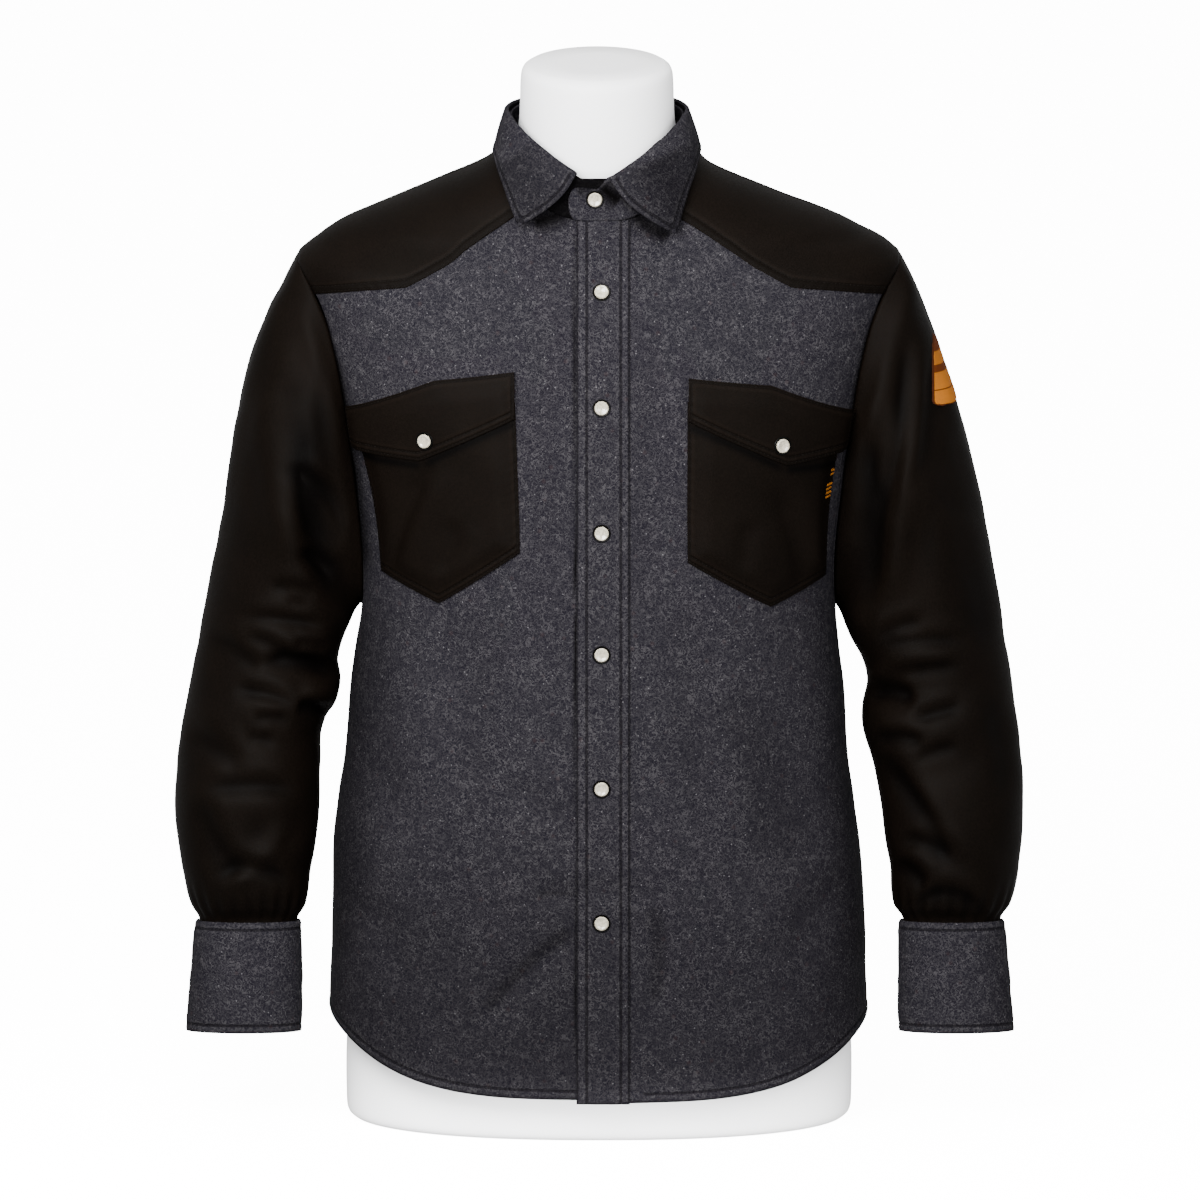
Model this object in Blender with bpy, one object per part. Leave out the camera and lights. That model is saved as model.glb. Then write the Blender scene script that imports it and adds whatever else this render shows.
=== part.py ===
"""Western snap shirt on a limbless dress form.

Metres, +Z up. The front faces -Y, the wearer's left is at +X, and the form's base stands on z = 0.
Sizes below are millimetres. The shirt lies on one body surface, read at a turn round the body
(0 at the front centre, +90 at the wearer's left side, 180 at the back) and a height.
"""

import math
from collections import namedtuple

import bmesh
import bpy
from mathutils import Matrix, Vector

MM = 0.001

# Cloth and the gaps between its pieces.
CLOTH = 1.2
SEAM = 0.3
LAYER = 0.5
LAP = 5.0
ARMHOLE_GAP = 0.6
CUFF_EASE = 0.6
COLLAR_CLOTH = 1.5
CUFF_CLOTH = 1.8

# Body surface: half-widths to the wearer's left and right, depths to the front and back.
ROUND = 2.3
Section = namedtuple("Section", "height left right front back")
SECTIONS = (
    Section(20, 210, 211, 151, 142),
    Section(88, 208, 209, 149, 140),
    Section(168, 206, 207, 147, 137),
    Section(216, 202, 206, 145, 134),
    Section(248, 198, 203, 143, 132),
    Section(280, 194, 198, 141, 130),
    Section(343, 190, 193, 138, 128),
    Section(375, 186, 188, 136, 128),
    Section(405, 184, 184, 134, 128),
    Section(450, 187, 187, 132, 128),
    Section(500, 194, 194, 128, 126),
    Section(550, 204, 204, 124, 122),
    Section(600, 215, 215, 117, 115),
    Section(640, 225, 225, 107, 106),
    Section(665, 232, 232, 98, 97),
    Section(680, 235, 235, 90, 89),
    Section(687, 229, 229, 86, 85),
    Section(694, 220, 220, 82, 81),
    Section(701, 206, 211, 78, 77),
    Section(709, 191, 198, 75, 73),
    Section(717, 172, 180, 72, 70),
    Section(725, 150, 161, 70, 67),
    Section(733, 130, 142, 68, 65),
    Section(741, 110, 123, 66, 63),
    Section(749, 92, 103, 64, 62),
    Section(757, 80, 87, 62.5, 61),
    Section(769, 74, 75, 61, 60),
    Section(790, 68, 69, 59, 58),
)

# Hem, neckline, seams and the snap band.
Hem = namedtuple("Hem", "centre side curve")
HEM_LEFT = Hem(37.5, 80.0, 3.8)
HEM_RIGHT = Hem(40.0, 84.0, 3.6)
HEM_BACK = 38.5
NECK_FRONT = 726.0
NECK_SIDE = 767.0
NECK_BACK = 769.0
NECK_BEND = 0.256
NECK_GAP = 1.0
YOKE_NECK_TURN = 19.5
SHOULDER_SEAM_TURN = 97.0
ARMPIT = 405.0
BAND_RIGHT_EDGE = -17.5
BAND_LEFT_EDGE = 24.0
BAND_CLOTH = 1.6
BAND_NECK_RISE = 0.6
CENTRE_LAP = 11.0
SIDE_SEAM_TURN = 0.05
FRONT_ROWS = 20

# Armhole: share of the way round from the armpit up the front, over the crest and down the back.
ArmholePoint = namedtuple("ArmholePoint", "share turn height")
ARMHOLE_FRONT = (
    ArmholePoint(0.000, 90.0, ARMPIT),
    ArmholePoint(0.035, 84.0, 418),
    ArmholePoint(0.089, 78.5, 450),
    ArmholePoint(0.168, 74.8, 500),
    ArmholePoint(0.246, 71.3, 550),
    ArmholePoint(0.311, 69.2, 592),
    ArmholePoint(0.368, 69.2, 628),
    ArmholePoint(0.408, 70.8, 652),
    ArmholePoint(0.437, 73.7, 667),
    ArmholePoint(0.460, 77.7, 677),
    ArmholePoint(0.479, 83.5, 682),
    ArmholePoint(0.500, 90.0, 684),
)
YOKE_SHARE = 0.423
SHOULDER_SEAM_SHARE = 0.523
LAP_SHARE = 0.015

# Lower edge of a front yoke from the neckline out to the armhole, and of the back yoke from its centre.
EdgePoint = namedtuple("EdgePoint", "share across height")
FRONT_YOKE_EDGE = (
    EdgePoint(0.2, 85, 712),
    EdgePoint(0.4, 120, 689),
    EdgePoint(0.6, 150, 673),
    EdgePoint(0.8, 180, 669),
)
BACK_YOKE_POINT = 600.0

# Chest pocket and flap outlines, for the wearer's right and left.
Corner = namedtuple("Corner", "share across height")
PocketShape = namedtuple("PocketShape", "side flap_top flap_low pocket_top pocket_low snap")
POCKETS = {
    "right": PocketShape(
        -1,
        (Corner(0, 65.5, 613), Corner(0.5, 128, 604), Corner(1, 194, 575)),
        (Corner(0, 65.5, 577), Corner(0.5, 137, 541), Corner(1, 189, 543)),
        (Corner(0, 65.5, 590), Corner(0.5, 128, 575), Corner(1, 187, 556)),
        (Corner(0, 61.5, 472), Corner(0.5, 124, 428), Corner(1, 168, 446)),
        Corner(0, 137.5, 557),
    ),
    "left": PocketShape(
        1,
        (Corner(0, 69.5, 608), Corner(0.5, 133, 600), Corner(1, 195, 572)),
        (Corner(0, 69.5, 575), Corner(0.5, 143, 537), Corner(1, 189, 541)),
        (Corner(0, 69, 590), Corner(0.5, 133, 572), Corner(1, 187, 556)),
        (Corner(0, 69, 464), Corner(0.5, 133, 424), Corner(1, 175, 440)),
        Corner(0, 143, 553),
    ),
}
POCKET_WAIST = -4.0
POCKET_RISE = CLOTH + LAYER + 0.3
FLAP_CLOTH = 1.5
FLAP_RISE = POCKET_RISE + CLOTH + LAYER + 0.5

# Sleeve below the armpit: the centre, half-width and half-depth of each ring.
Ring = namedtuple("Ring", "height across back half_width half_depth")
SLEEVE_RINGS = (
    Ring(151, 273.5, -32.0, 38.7, 32),
    Ring(161, 273.5, -30.7, 38.7, 32),
    Ring(170, 274.5, -29.5, 43, 41),
    Ring(184, 275.5, -28, 47, 48),
    Ring(216, 276, -22, 53, 56),
    Ring(248, 276, -16, 55, 60),
    Ring(280, 273, -10, 56, 62),
    Ring(312, 268, -4, 56.5, 64),
    Ring(343, 263, 0, 57, 65),
    Ring(380, 256.5, 4, 57, 66),
)
SLEEVE_JOIN = 380.0
HEAD_ROWS = 10
ARM_ROWS = 13
SLEEVE_COLUMNS = 22
CREST_CROWDING = 0.04
SLEEVE_SLANT = 0.13

# How far the outer and inner edge of each sleeve stand out from its rings.
SleeveEdge = namedtuple("SleeveEdge", "height outer inner")
SLEEVE_EDGES = {
    "right": (
        SleeveEdge(151, 0.4, -0.4),
        SleeveEdge(161, 0.4, -0.4),
        SleeveEdge(172, 0.5, 2.0),
        SleeveEdge(205, -0.8, 1.0),
        SleeveEdge(240, 0.0, 3.0),
        SleeveEdge(275, 1.0, 0.0),
        SleeveEdge(305, 1.6, -3.5),
        SleeveEdge(325, 0.5, 2.5),
        SleeveEdge(345, 0.0, 4.0),
        SleeveEdge(362, -0.8, -1.2),
        SleeveEdge(380, -1.2, 1.0),
        SleeveEdge(398, -1.5, 4.0),
        SleeveEdge(430, -1.6, 1.0),
        SleeveEdge(465, -2.8, 0.0),
        SleeveEdge(500, -1.0, 0.0),
        SleeveEdge(560, 1.5, 0.0),
        SleeveEdge(600, 4.0, 0.0),
        SleeveEdge(655, 4.0, 0.0),
        SleeveEdge(684, 0.0, 0.0),
    ),
    "left": (
        SleeveEdge(151, 2.0, -2.0),
        SleeveEdge(161, 2.0, -2.0),
        SleeveEdge(172, 3.5, 1.5),
        SleeveEdge(205, 1.0, -2.0),
        SleeveEdge(240, 0.5, 0.5),
        SleeveEdge(275, 1.0, 2.5),
        SleeveEdge(305, 2.3, 6.0),
        SleeveEdge(325, 1.6, 3.5),
        SleeveEdge(345, 2.5, -3.5),
        SleeveEdge(362, 3.0, -2.5),
        SleeveEdge(380, 3.5, 4.5),
        SleeveEdge(398, 4.0, 6.5),
        SleeveEdge(430, 4.5, 2.0),
        SleeveEdge(465, 4.0, 0.0),
        SleeveEdge(500, 3.5, 0.0),
        SleeveEdge(560, 1.3, 0.0),
        SleeveEdge(600, 0.3, 0.0),
        SleeveEdge(655, 0.0, 0.0),
        SleeveEdge(684, 0.0, 0.0),
    ),
}

# Cuffs: the band's lower ring and its height.
CUFF_LOW = 73.0
CUFF_HEIGHT = 86.0
CUFF_FLARE = 4.2
CUFF_SPREAD = 3.5
CUFF_OUT = {"right": SLEEVE_EDGES["right"][0].outer, "left": SLEEVE_EDGES["left"][0].outer}
CUFF_LAP = 34.0
CUFF_START = 250.0
CUFF_SNAPS = (0.3, 0.72)
CUFF_SNAP_TURN = 268.0

# Sleeve folds: place round the sleeve (0 inner, 90 front, 180 outer), slope, half-length, half-width, depth.
Fold = namedtuple("Fold", "height turn slope length width depth")
SLEEVE_FOLDS = {
    "right": (
        Fold(520, 100, 84, 90, 18, 5.0),
        Fold(520, 72, 84, 90, 16, -4.0),
        Fold(390, 80, 10, 45, 13, 4.0),
        Fold(365, 95, 5, 50, 12, -4.5),
        Fold(335, 85, -8, 60, 13, 5.0),
        Fold(305, 120, 12, 40, 12, -4.0),
        Fold(262, 100, 0, 60, 16, 4.5),
        Fold(222, 80, -20, 50, 14, -4.0),
        Fold(350, 270, 0, 60, 16, 4.0),
        Fold(300, 260, 8, 60, 14, -4.0),
    ),
    "left": (
        Fold(560, 75, 80, 80, 16, 5.0),
        Fold(520, 120, 84, 110, 18, 4.5),
        Fold(520, 97, 84, 90, 14, -4.0),
        Fold(385, 75, -12, 45, 13, 4.0),
        Fold(350, 85, 6, 55, 13, -5.0),
        Fold(322, 100, 8, 50, 12, 4.5),
        Fold(285, 80, 14, 45, 13, -4.0),
        Fold(235, 95, -48, 60, 15, 5.0),
        Fold(350, 270, 0, 60, 16, 4.0),
        Fold(300, 260, -8, 60, 14, -4.0),
    ),
}

# Collar: its stand follows the neckline up to this ring, and its fall hangs from there.
# The fall's leaf is given from a front point (share 0) to the centre of the back (share 1).
STAND_HALF_WIDTH = 65.5
STAND_FRONT = 69.0
STAND_BACK = 66.0
STAND_RISE = 0.4
FOLD_FRONT = 757.0
FOLD_RISE = 45.0
FOLD_CURVE = 1.1
ROLL = 5.0
STAND_END_TURN = 17.0
FALL_END_RIGHT = 13.0
FALL_END_LEFT = 8.0
RollPoint = namedtuple("RollPoint", "out up")
FALL_ROLL = (
    RollPoint(1.9, 1.2),
    RollPoint(1.9, 2.4),
    RollPoint(2.6, 3.3),
    RollPoint(3.9, 3.6),
    RollPoint(5.2, 2.6),
)
LEAF_SWELL = 1.6
LEFT_POINT_DROP = 6.0
LEAF_ROWS = 5
NECK_ACROSS = -1.6
LeafPoint = namedtuple("LeafPoint", "share across ahead height")
LEAF_EDGE = (
    LeafPoint(0.00, 61.0, 76, 723),
    LeafPoint(0.14, 66.5, 70, 735),
    LeafPoint(0.28, 71.5, 61, 748),
    LeafPoint(0.40, 76.5, 43, 759),
    LeafPoint(0.50, 79.5, 22, 766),
    LeafPoint(0.60, 80.0, 0, 770),
    LeafPoint(0.75, 72.0, -38, 771),
    LeafPoint(0.88, 43.0, -63, 768),
    LeafPoint(1.00, 0.0, -72, 765),
)

# Snaps: a domed cap in a rolled ring. Heights down the band, at the band's middle.
SNAP_RADIUS = 6.2
SNAP_HEIGHT = 2.6
SNAP_PROFILE = (
    (0, 0),
    (SNAP_RADIUS - 0.7, 0),
    (SNAP_RADIUS, 0.7),
    (SNAP_RADIUS - 0.9, 1.7),
    (3.2, 2.4),
    (0, SNAP_HEIGHT),
)
BAND_SNAPS = (674, 587, 488, 394, 287.5, 182)
BAND_SNAP_ACROSS = 3.0
STAND_SNAP_HEIGHT = 742.0
STAND_SNAP_TURN = -0.8

# Label on the wearer's left upper sleeve.
LABEL_LOW = 566.0
LABEL_HIGH = 618.0
LABEL_TURNS = (164.0, 184.0)

# Dress form: half-width, front and back of the torso, then of the neck.
FormSection = namedtuple("FormSection", "height half_width front back")
FORM_TORSO = (
    FormSection(0, 192, 114, 114),
    FormSection(3, 195.5, 117.5, 117.5),
    FormSection(10, 197, 119, 119),
    FormSection(60, 197, 118, 118),
    FormSection(140, 191, 114, 114),
    FormSection(230, 180, 106, 106),
    FormSection(320, 170, 102, 103),
    FormSection(400, 171, 106, 107),
    FormSection(480, 180, 110, 111),
    FormSection(560, 190, 108, 110),
    FormSection(620, 199, 98, 101),
    FormSection(665, 207, 86, 88),
    FormSection(700, 209, 78, 78),
    FormSection(800, 209, 78, 78),
)
FORM_EASE = 5.0
FORM_NECK = (
    FormSection(745, 98, 60, 59),
    FormSection(757, 80, 59, 58),
    FormSection(772, 66, 59, 58.5),
    FormSection(790, 61, 59.5, 59.5),
    FormSection(826, 59.5, 59, 59),
    FormSection(833, 57.5, 57, 57),
    FormSection(836, 53, 52.5, 52.5),
)
FORM_NECK_TILT = 0.05
FORM_TORSO_ROWS = 10
FORM_CLOSE_ROWS_FROM = 675.0
FORM_SHOULDER = 640.0
FORM_SHOULDER_ROWS = 9
FORM_TORSO_TOP = 757.0


def read(rows, column, at, key="height"):
    """A smooth value of one column of a table, at a place between its rows."""
    last = len(rows) - 1
    low = 0
    while low < last - 1 and getattr(rows[low + 1], key) < at:
        low += 1
    places = [getattr(rows[i], key) for i in (max(low - 1, 0), low, low + 1, min(low + 2, last))]
    values = [getattr(rows[i], column) for i in (max(low - 1, 0), low, low + 1, min(low + 2, last))]
    span = places[2] - places[1]
    share = min(max((at - places[1]) / span, 0.0), 1.0)
    slope_in = (values[2] - values[0]) / (places[2] - places[0]) * span
    slope_out = (values[3] - values[1]) / (places[3] - places[1]) * span
    square, cube = share**2, share**3
    return (
        (2 * cube - 3 * square + 1) * values[1]
        + (cube - 2 * square + share) * slope_in
        + (3 * square - 2 * cube) * values[2]
        + (cube - square) * slope_out
    )


def read_straight(rows, column, share):
    """A value between two rows of a table whose key is share, on a straight line."""
    low = 0
    while low < len(rows) - 2 and rows[low + 1].share < share:
        low += 1
    first, second = rows[low], rows[low + 1]
    part = (share - first.share) / (second.share - first.share)
    return getattr(first, column) * (1 - part) + getattr(second, column) * part


def smooth_step(value):
    value = min(max(value, 0.0), 1.0)
    return value * value * (3 - 2 * value)


def signed_power(value, power):
    return math.copysign(abs(value) ** power, value)


def bare_point(turn, height):
    """A point of the body surface itself."""
    angle = math.radians(turn)
    side, ahead = math.sin(angle), math.cos(angle)
    half = read(SECTIONS, "left" if side >= 0 else "right", height)
    depth = read(SECTIONS, "front" if ahead >= 0 else "back", height)
    return Vector((half * signed_power(side, 2 / ROUND), -depth * signed_power(ahead, 2 / ROUND), height))


def body_normal(turn, height):
    along = bare_point(turn + 0.6, height) - bare_point(turn - 0.6, height)
    up = bare_point(turn, height + 1.5) - bare_point(turn, height - 1.5)
    return along.cross(up).normalized()


def body_point(turn, height, rise=0.0):
    """A point that stands off the body surface by rise."""
    return bare_point(turn, height) + body_normal(turn, height) * rise


def turn_of(across, height):
    """The turn at which the front of the body surface lies this far across."""
    half = read(SECTIONS, "left" if across >= 0 else "right", height)
    return math.degrees(math.copysign(math.asin(min(abs(across) / half, 1.0) ** (ROUND / 2)), across))


def hem_height(turn):
    """The hem, which rises to each side seam."""
    side, ahead = math.sin(math.radians(turn)), math.cos(math.radians(turn))
    hem = HEM_LEFT if side >= 0 else HEM_RIGHT
    centre = hem.centre if ahead > 0 else HEM_BACK
    return centre + (hem.side - centre) * abs(side) ** hem.curve


def neck_height(turn):
    side = math.sin(math.radians(turn)) ** 2
    centre = NECK_FRONT if math.cos(math.radians(turn)) > 0 else NECK_BACK
    return centre + (NECK_SIDE - centre) * side * (1 + NECK_BEND) / (side + NECK_BEND)


def armhole(share):
    """Turn and height at a share of the way round the wearer's left armhole."""
    folded = min(share, 1 - share)
    turn = read(ARMHOLE_FRONT, "turn", folded, key="share")
    height = read(ARMHOLE_FRONT, "height", folded, key="share")
    return [turn if share <= 0.5 else 180 - turn, height]


def blend_edges(bottom, top, start, end):
    """The surface (turn, height) between four edges, each a function of 0 to 1."""

    def place(u, v):
        pairs = []
        for i in (0, 1):
            across = (1 - v) * bottom(u)[i] + v * top(u)[i]
            along = (1 - u) * start(v)[i] + u * end(v)[i]
            corners = (1 - u) * (1 - v) * bottom(0)[i] + u * (1 - v) * bottom(1)[i]
            corners += (1 - u) * v * top(0)[i] + u * v * top(1)[i]
            pairs.append(across + along - corners)
        return pairs

    return place


def crowded_low(place):
    """The same surface with its rows closer together at its lower edge, where it laps another piece."""
    return lambda u, v: place(u, v**1.5)


def straight(first, second):
    """The edge from one (turn, height) to another."""
    return lambda share: [a + (b - a) * share for a, b in zip(first, second)]


def edge_of(rows):
    """The edge through a table's points, which are given across and by height."""

    def at(share):
        height = read_straight(rows, "height", share)
        return [turn_of(read_straight(rows, "across", share), height), height]

    return at


def material(name, colour, roughness, metallic=0.0):
    made = bpy.data.materials.new(name)
    made.use_nodes = True
    shader = made.node_tree.nodes["Principled BSDF"]
    shader.inputs["Base Color"].default_value = (*colour, 1.0)
    shader.inputs["Roughness"].default_value = roughness
    shader.inputs["Metallic"].default_value = metallic
    made.diffuse_color = (*colour, 1.0)
    return made


def finish_object(name, bm, surface):
    mesh = bpy.data.meshes.new(name)
    bm.to_mesh(mesh)
    bm.free()
    mesh.shade_smooth()
    mesh.set_sharp_from_angle(angle=math.radians(50))
    mesh.materials.append(surface)
    made = bpy.data.objects.new(name, mesh)
    bpy.context.scene.collection.objects.link(made)
    return made


def cloth_grid(columns, rows, place, mirrored=False, joined=False):
    """A grid laid on the points that place(u, v) gives, with its faces to the outside."""
    bm = bmesh.new()
    bmesh.ops.create_grid(bm, x_segments=columns, y_segments=rows, size=0.5)
    for vert in bm.verts:
        u, v = vert.co.x + 0.5, vert.co.y + 0.5
        vert.co = Vector(place(1 - u if mirrored else u, v)) * MM
    if joined:
        bmesh.ops.remove_doubles(bm, verts=bm.verts, dist=1e-6)
    return bm


def cloth_piece(name, bm, surface, thickness, outward=True):
    """The grid given its thickness, outwards or inwards."""
    made = finish_object(name, bm, surface)
    wall = made.modifiers.new("Wall", "SOLIDIFY")
    wall.thickness = thickness * MM
    wall.offset = 1.0 if outward else -1.0
    return made


def on_body(place, side, rise):
    """Turns a surface of (turn, height) for the wearer's left into points of either side."""

    def at(u, v):
        turn, height = place(u, v)
        return body_point(side * turn, height, rise)

    return at


def front_yoke_low(share):
    """The yoke's lower edge: from the neckline through its table's points to the armhole."""
    first, last = FRONT_YOKE_EDGE[0], FRONT_YOKE_EDGE[-1]
    if share < first.share:
        neck = [YOKE_NECK_TURN, neck_height(YOKE_NECK_TURN)]
        return straight(neck, edge_of(FRONT_YOKE_EDGE)(first.share))(share / first.share)
    if share <= last.share:
        return edge_of(FRONT_YOKE_EDGE)(share)
    part = (share - last.share) / (1 - last.share)
    start = [turn_of(last.across, last.height), last.height]
    return straight(start, armhole(YOKE_SHARE))(part)


def build_front(name, side, denim):
    """A body front from the centre lap to the side seam, up to the neckline, yoke and armhole."""
    columns, rows = 13, FRONT_ROWS
    centre = CENTRE_LAP + SEAM if side > 0 else -CENTRE_LAP
    hem = HEM_LEFT if side > 0 else HEM_RIGHT
    start_low = [turn_of(centre, hem.centre), hem.centre]
    start_high = [turn_of(centre, NECK_FRONT), neck_height(turn_of(centre, NECK_FRONT))]
    side_rows = 11 / rows
    neck_columns = 3 / columns
    yoke_start = front_yoke_low(0)
    top_share = YOKE_SHARE + LAP_SHARE

    def bottom(u):
        turn = start_low[0] + (90 - start_low[0]) * u
        return [turn, hem_height(math.copysign(turn, side))]

    def end(v):
        if v <= side_rows:
            return [90 - SIDE_SEAM_TURN, hem.side + (ARMPIT - hem.side) * v / side_rows]
        return armhole(top_share * (v - side_rows) / (1 - side_rows))

    def top(u):
        if u < neck_columns:
            turn = start_high[0] + (yoke_start[0] - start_high[0]) * u / neck_columns
            return [turn, neck_height(turn)]
        turn, height = front_yoke_low((u - neck_columns) / (1 - neck_columns))
        lap = LAP * (1 - smooth_step((u - 0.8) / 0.2)) * smooth_step((u - neck_columns) * 12)
        if u >= 1:
            return armhole(top_share)
        return [turn, height + lap]

    place = blend_edges(bottom, top, straight(start_low, start_high), end)
    bm = cloth_grid(columns, rows, on_body(place, side, 0), mirrored=side < 0)
    return cloth_piece(name, bm, denim, CLOTH)


def build_front_yoke(name, side, twill):
    """A front yoke over the shoulder, from the front's top to the shoulder seam."""
    columns, rows = 10, 7
    neck_low = front_yoke_low(0)

    def start(v):
        turn = neck_low[0] + (SHOULDER_SEAM_TURN - neck_low[0]) * v
        return [turn, neck_height(turn)]

    def end(v):
        return armhole(YOKE_SHARE + (SHOULDER_SEAM_SHARE - YOKE_SHARE) * v)

    top = straight(start(1), end(1))
    place = crowded_low(blend_edges(front_yoke_low, top, start, end))
    bm = cloth_grid(columns, rows, on_body(place, side, CLOTH + LAYER), mirrored=side < 0)
    return cloth_piece(name, bm, twill, CLOTH)


def back_yoke_low(share):
    """Half of the back yoke's lower edge, from its centre point out to the armhole."""
    end = armhole(1 - YOKE_SHARE)
    part = smooth_step(share * 0.85 + 0.15) - smooth_step(0.15)
    part /= smooth_step(1.0) - smooth_step(0.15)
    return [180 + (end[0] - 180) * share, BACK_YOKE_POINT + (end[1] - BACK_YOKE_POINT) * part]


def mirrored_back(half):
    """A whole edge across the back, from the wearer's left to the right, out of its left half."""

    def at(u):
        turn, height = half(abs(2 * u - 1))
        return [turn if u <= 0.5 else 360 - turn, height]

    return at


def build_back_yoke(twill):
    columns, rows = 20, 6
    seam_turn = SHOULDER_SEAM_TURN + SEAM
    seam_share = SHOULDER_SEAM_SHARE + SEAM / 250
    neck_share = 0.4

    def half_top(share):
        if share <= neck_share:
            turn = 180 + (seam_turn - 180) * share / neck_share
            return [turn, neck_height(turn)]
        part = (share - neck_share) / (1 - neck_share)
        return straight([seam_turn, neck_height(seam_turn)], armhole(seam_share))(part)

    def left(v):
        return armhole(1 - YOKE_SHARE + (seam_share - 1 + YOKE_SHARE) * v)

    def right(v):
        turn, height = left(v)
        return [360 - turn, height]

    place = crowded_low(blend_edges(mirrored_back(back_yoke_low), mirrored_back(half_top), left, right))
    bm = cloth_grid(columns, rows, on_body(place, 1, CLOTH + LAYER))
    return cloth_piece("back_yoke", bm, twill, CLOTH)


def build_back(denim):
    columns, rows = 20, 15
    side_rows = 9 / rows
    top_share = 1 - YOKE_SHARE - LAP_SHARE
    side_turn = 90 + SIDE_SEAM_TURN

    def bottom(u):
        turn = side_turn + (360 - 2 * side_turn) * u
        return [turn, hem_height(turn)]

    def half_top(share):
        turn, height = back_yoke_low(share)
        return [turn, height + LAP] if share < 1 else armhole(top_share)

    def side_edge(hem, v):
        if v <= side_rows:
            return [side_turn, hem.side + (ARMPIT - hem.side) * v / side_rows]
        return armhole(1 - (1 - top_share) * (v - side_rows) / (1 - side_rows))

    def left(v):
        return side_edge(HEM_LEFT, v)

    def right(v):
        turn, height = side_edge(HEM_RIGHT, v)
        return [360 - turn, height]

    place = blend_edges(bottom, mirrored_back(half_top), left, right)
    bm = cloth_grid(columns, rows, on_body(place, 1, 0))
    return cloth_piece("back", bm, denim, CLOTH)


def build_placket(denim):
    """The snap band down the front, over both centre edges."""
    low, high = HEM_LEFT.centre + 0.2, NECK_FRONT - 0.6

    def place(u, v):
        height = low + (high - low) * v
        across = BAND_RIGHT_EDGE + (BAND_LEFT_EDGE - BAND_RIGHT_EDGE) * u
        neck_rise = BAND_NECK_RISE * smooth_step((height - 690) / 20)
        return body_point(turn_of(across, height), height, CLOTH + LAYER + neck_rise)

    return cloth_piece("placket", cloth_grid(4, FRONT_ROWS, place), denim, BAND_CLOTH)


def build_pocket(name, shape, twill):
    """A pointed chest pocket on a front."""
    place = pocket_surface(edge_of(shape.pocket_low), edge_of(shape.pocket_top), POCKET_WAIST)
    bm = cloth_grid(8, 8, on_body(place, shape.side, POCKET_RISE), mirrored=shape.side < 0)
    return cloth_piece(name, bm, twill, CLOTH)


def build_flap(name, shape, twill):
    """The pointed flap over a pocket's mouth."""
    place = pocket_surface(edge_of(shape.flap_low), edge_of(shape.flap_top), 0)
    bm = cloth_grid(8, 4, on_body(place, shape.side, FLAP_RISE), mirrored=shape.side < 0)
    return cloth_piece(name, bm, twill, FLAP_CLOTH)


def pocket_surface(bottom, top, waist):
    """The surface between two edges, its outer side drawn in by waist at mid height."""

    def place(u, v):
        low, high = bottom(u), top(u)
        turn = low[0] + (high[0] - low[0]) * v + waist / 3 * u * math.sin(math.pi * v)
        return [turn, low[1] + (high[1] - low[1]) * v]

    return place


def fold_depth(folds, height, turn, radius):
    """How far the folds raise the cloth at a place on the sleeve."""
    total = 0.0
    for fold in folds:
        round_way = math.radians((turn - fold.turn + 180) % 360 - 180) * radius
        up_way = height - fold.height
        slope = math.radians(fold.slope)
        along = round_way * math.cos(slope) + up_way * math.sin(slope)
        across = up_way * math.cos(slope) - round_way * math.sin(slope)
        total += fold.depth * math.exp(-((across / fold.width) ** 2) - (along / fold.length) ** 4)
    return total


def sleeve_ring(turn, height):
    """A point of the sleeve below the armpit, on a ring whose plane tilts with the forearm."""
    angle = math.radians(turn)
    across = read(SLEEVE_RINGS, "across", height)
    back = read(SLEEVE_RINGS, "back", height)
    half_width = read(SLEEVE_RINGS, "half_width", height)
    half_depth = read(SLEEVE_RINGS, "half_depth", height)
    tilt = SLEEVE_SLANT * smooth_step((SLEEVE_JOIN - height) / 120)
    ahead = half_depth * math.sin(angle)
    return Vector((across - half_width * math.cos(angle), back - ahead, height + ahead * tilt))


def sleeve_bare(turn, v):
    """A point of the wearer's left sleeve, v from 0 at the cuff to 1 at the armhole."""
    split = ARM_ROWS / (ARM_ROWS + HEAD_ROWS)
    low = SLEEVE_RINGS[0].height
    if v <= split:
        return sleeve_ring(turn, low + (SLEEVE_JOIN - low) * (v / split) ** 1.24)
    angle = math.radians(turn)
    edge_turn, edge_height = armhole(turn / 360)
    on_yoke = smooth_step((min(turn, 360 - turn) / 360 - YOKE_SHARE + 0.05) / 0.05)
    first = body_point(edge_turn, edge_height, CLOTH + (CLOTH + LAYER) * on_yoke)
    leave = Vector((0.62 + 0.13 * math.cos(angle), -0.6 * math.sin(angle), 0.6 * math.cos(angle) - 0.35))
    leave.normalize()
    first += leave * (ARMHOLE_GAP + 1.5 * on_yoke)
    last = sleeve_ring(turn, SLEEVE_JOIN)
    arrive = (sleeve_ring(turn, SLEEVE_JOIN - 6) - last).normalized()
    reach = (last - first).length
    share = 1 - (v - split) / (1 - split)
    square, cube = share**2, share**3
    return (
        first * (2 * cube - 3 * square + 1)
        + leave * reach * (cube - 2 * square + share)
        + last * (3 * square - 2 * cube)
        + arrive * reach * (cube - square)
    )


def edge_shift(word, turn, v, height):
    """How far a sleeve point moves away from the body to meet the sleeve's edges."""
    outward = (1 - math.cos(math.radians(turn))) / 2
    outer, inner = [read(SLEEVE_EDGES[word], key, height) for key in ("outer", "inner")]
    return (outer * outward - inner * (1 - outward)) * smooth_step((1 - v) * 8)


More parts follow.
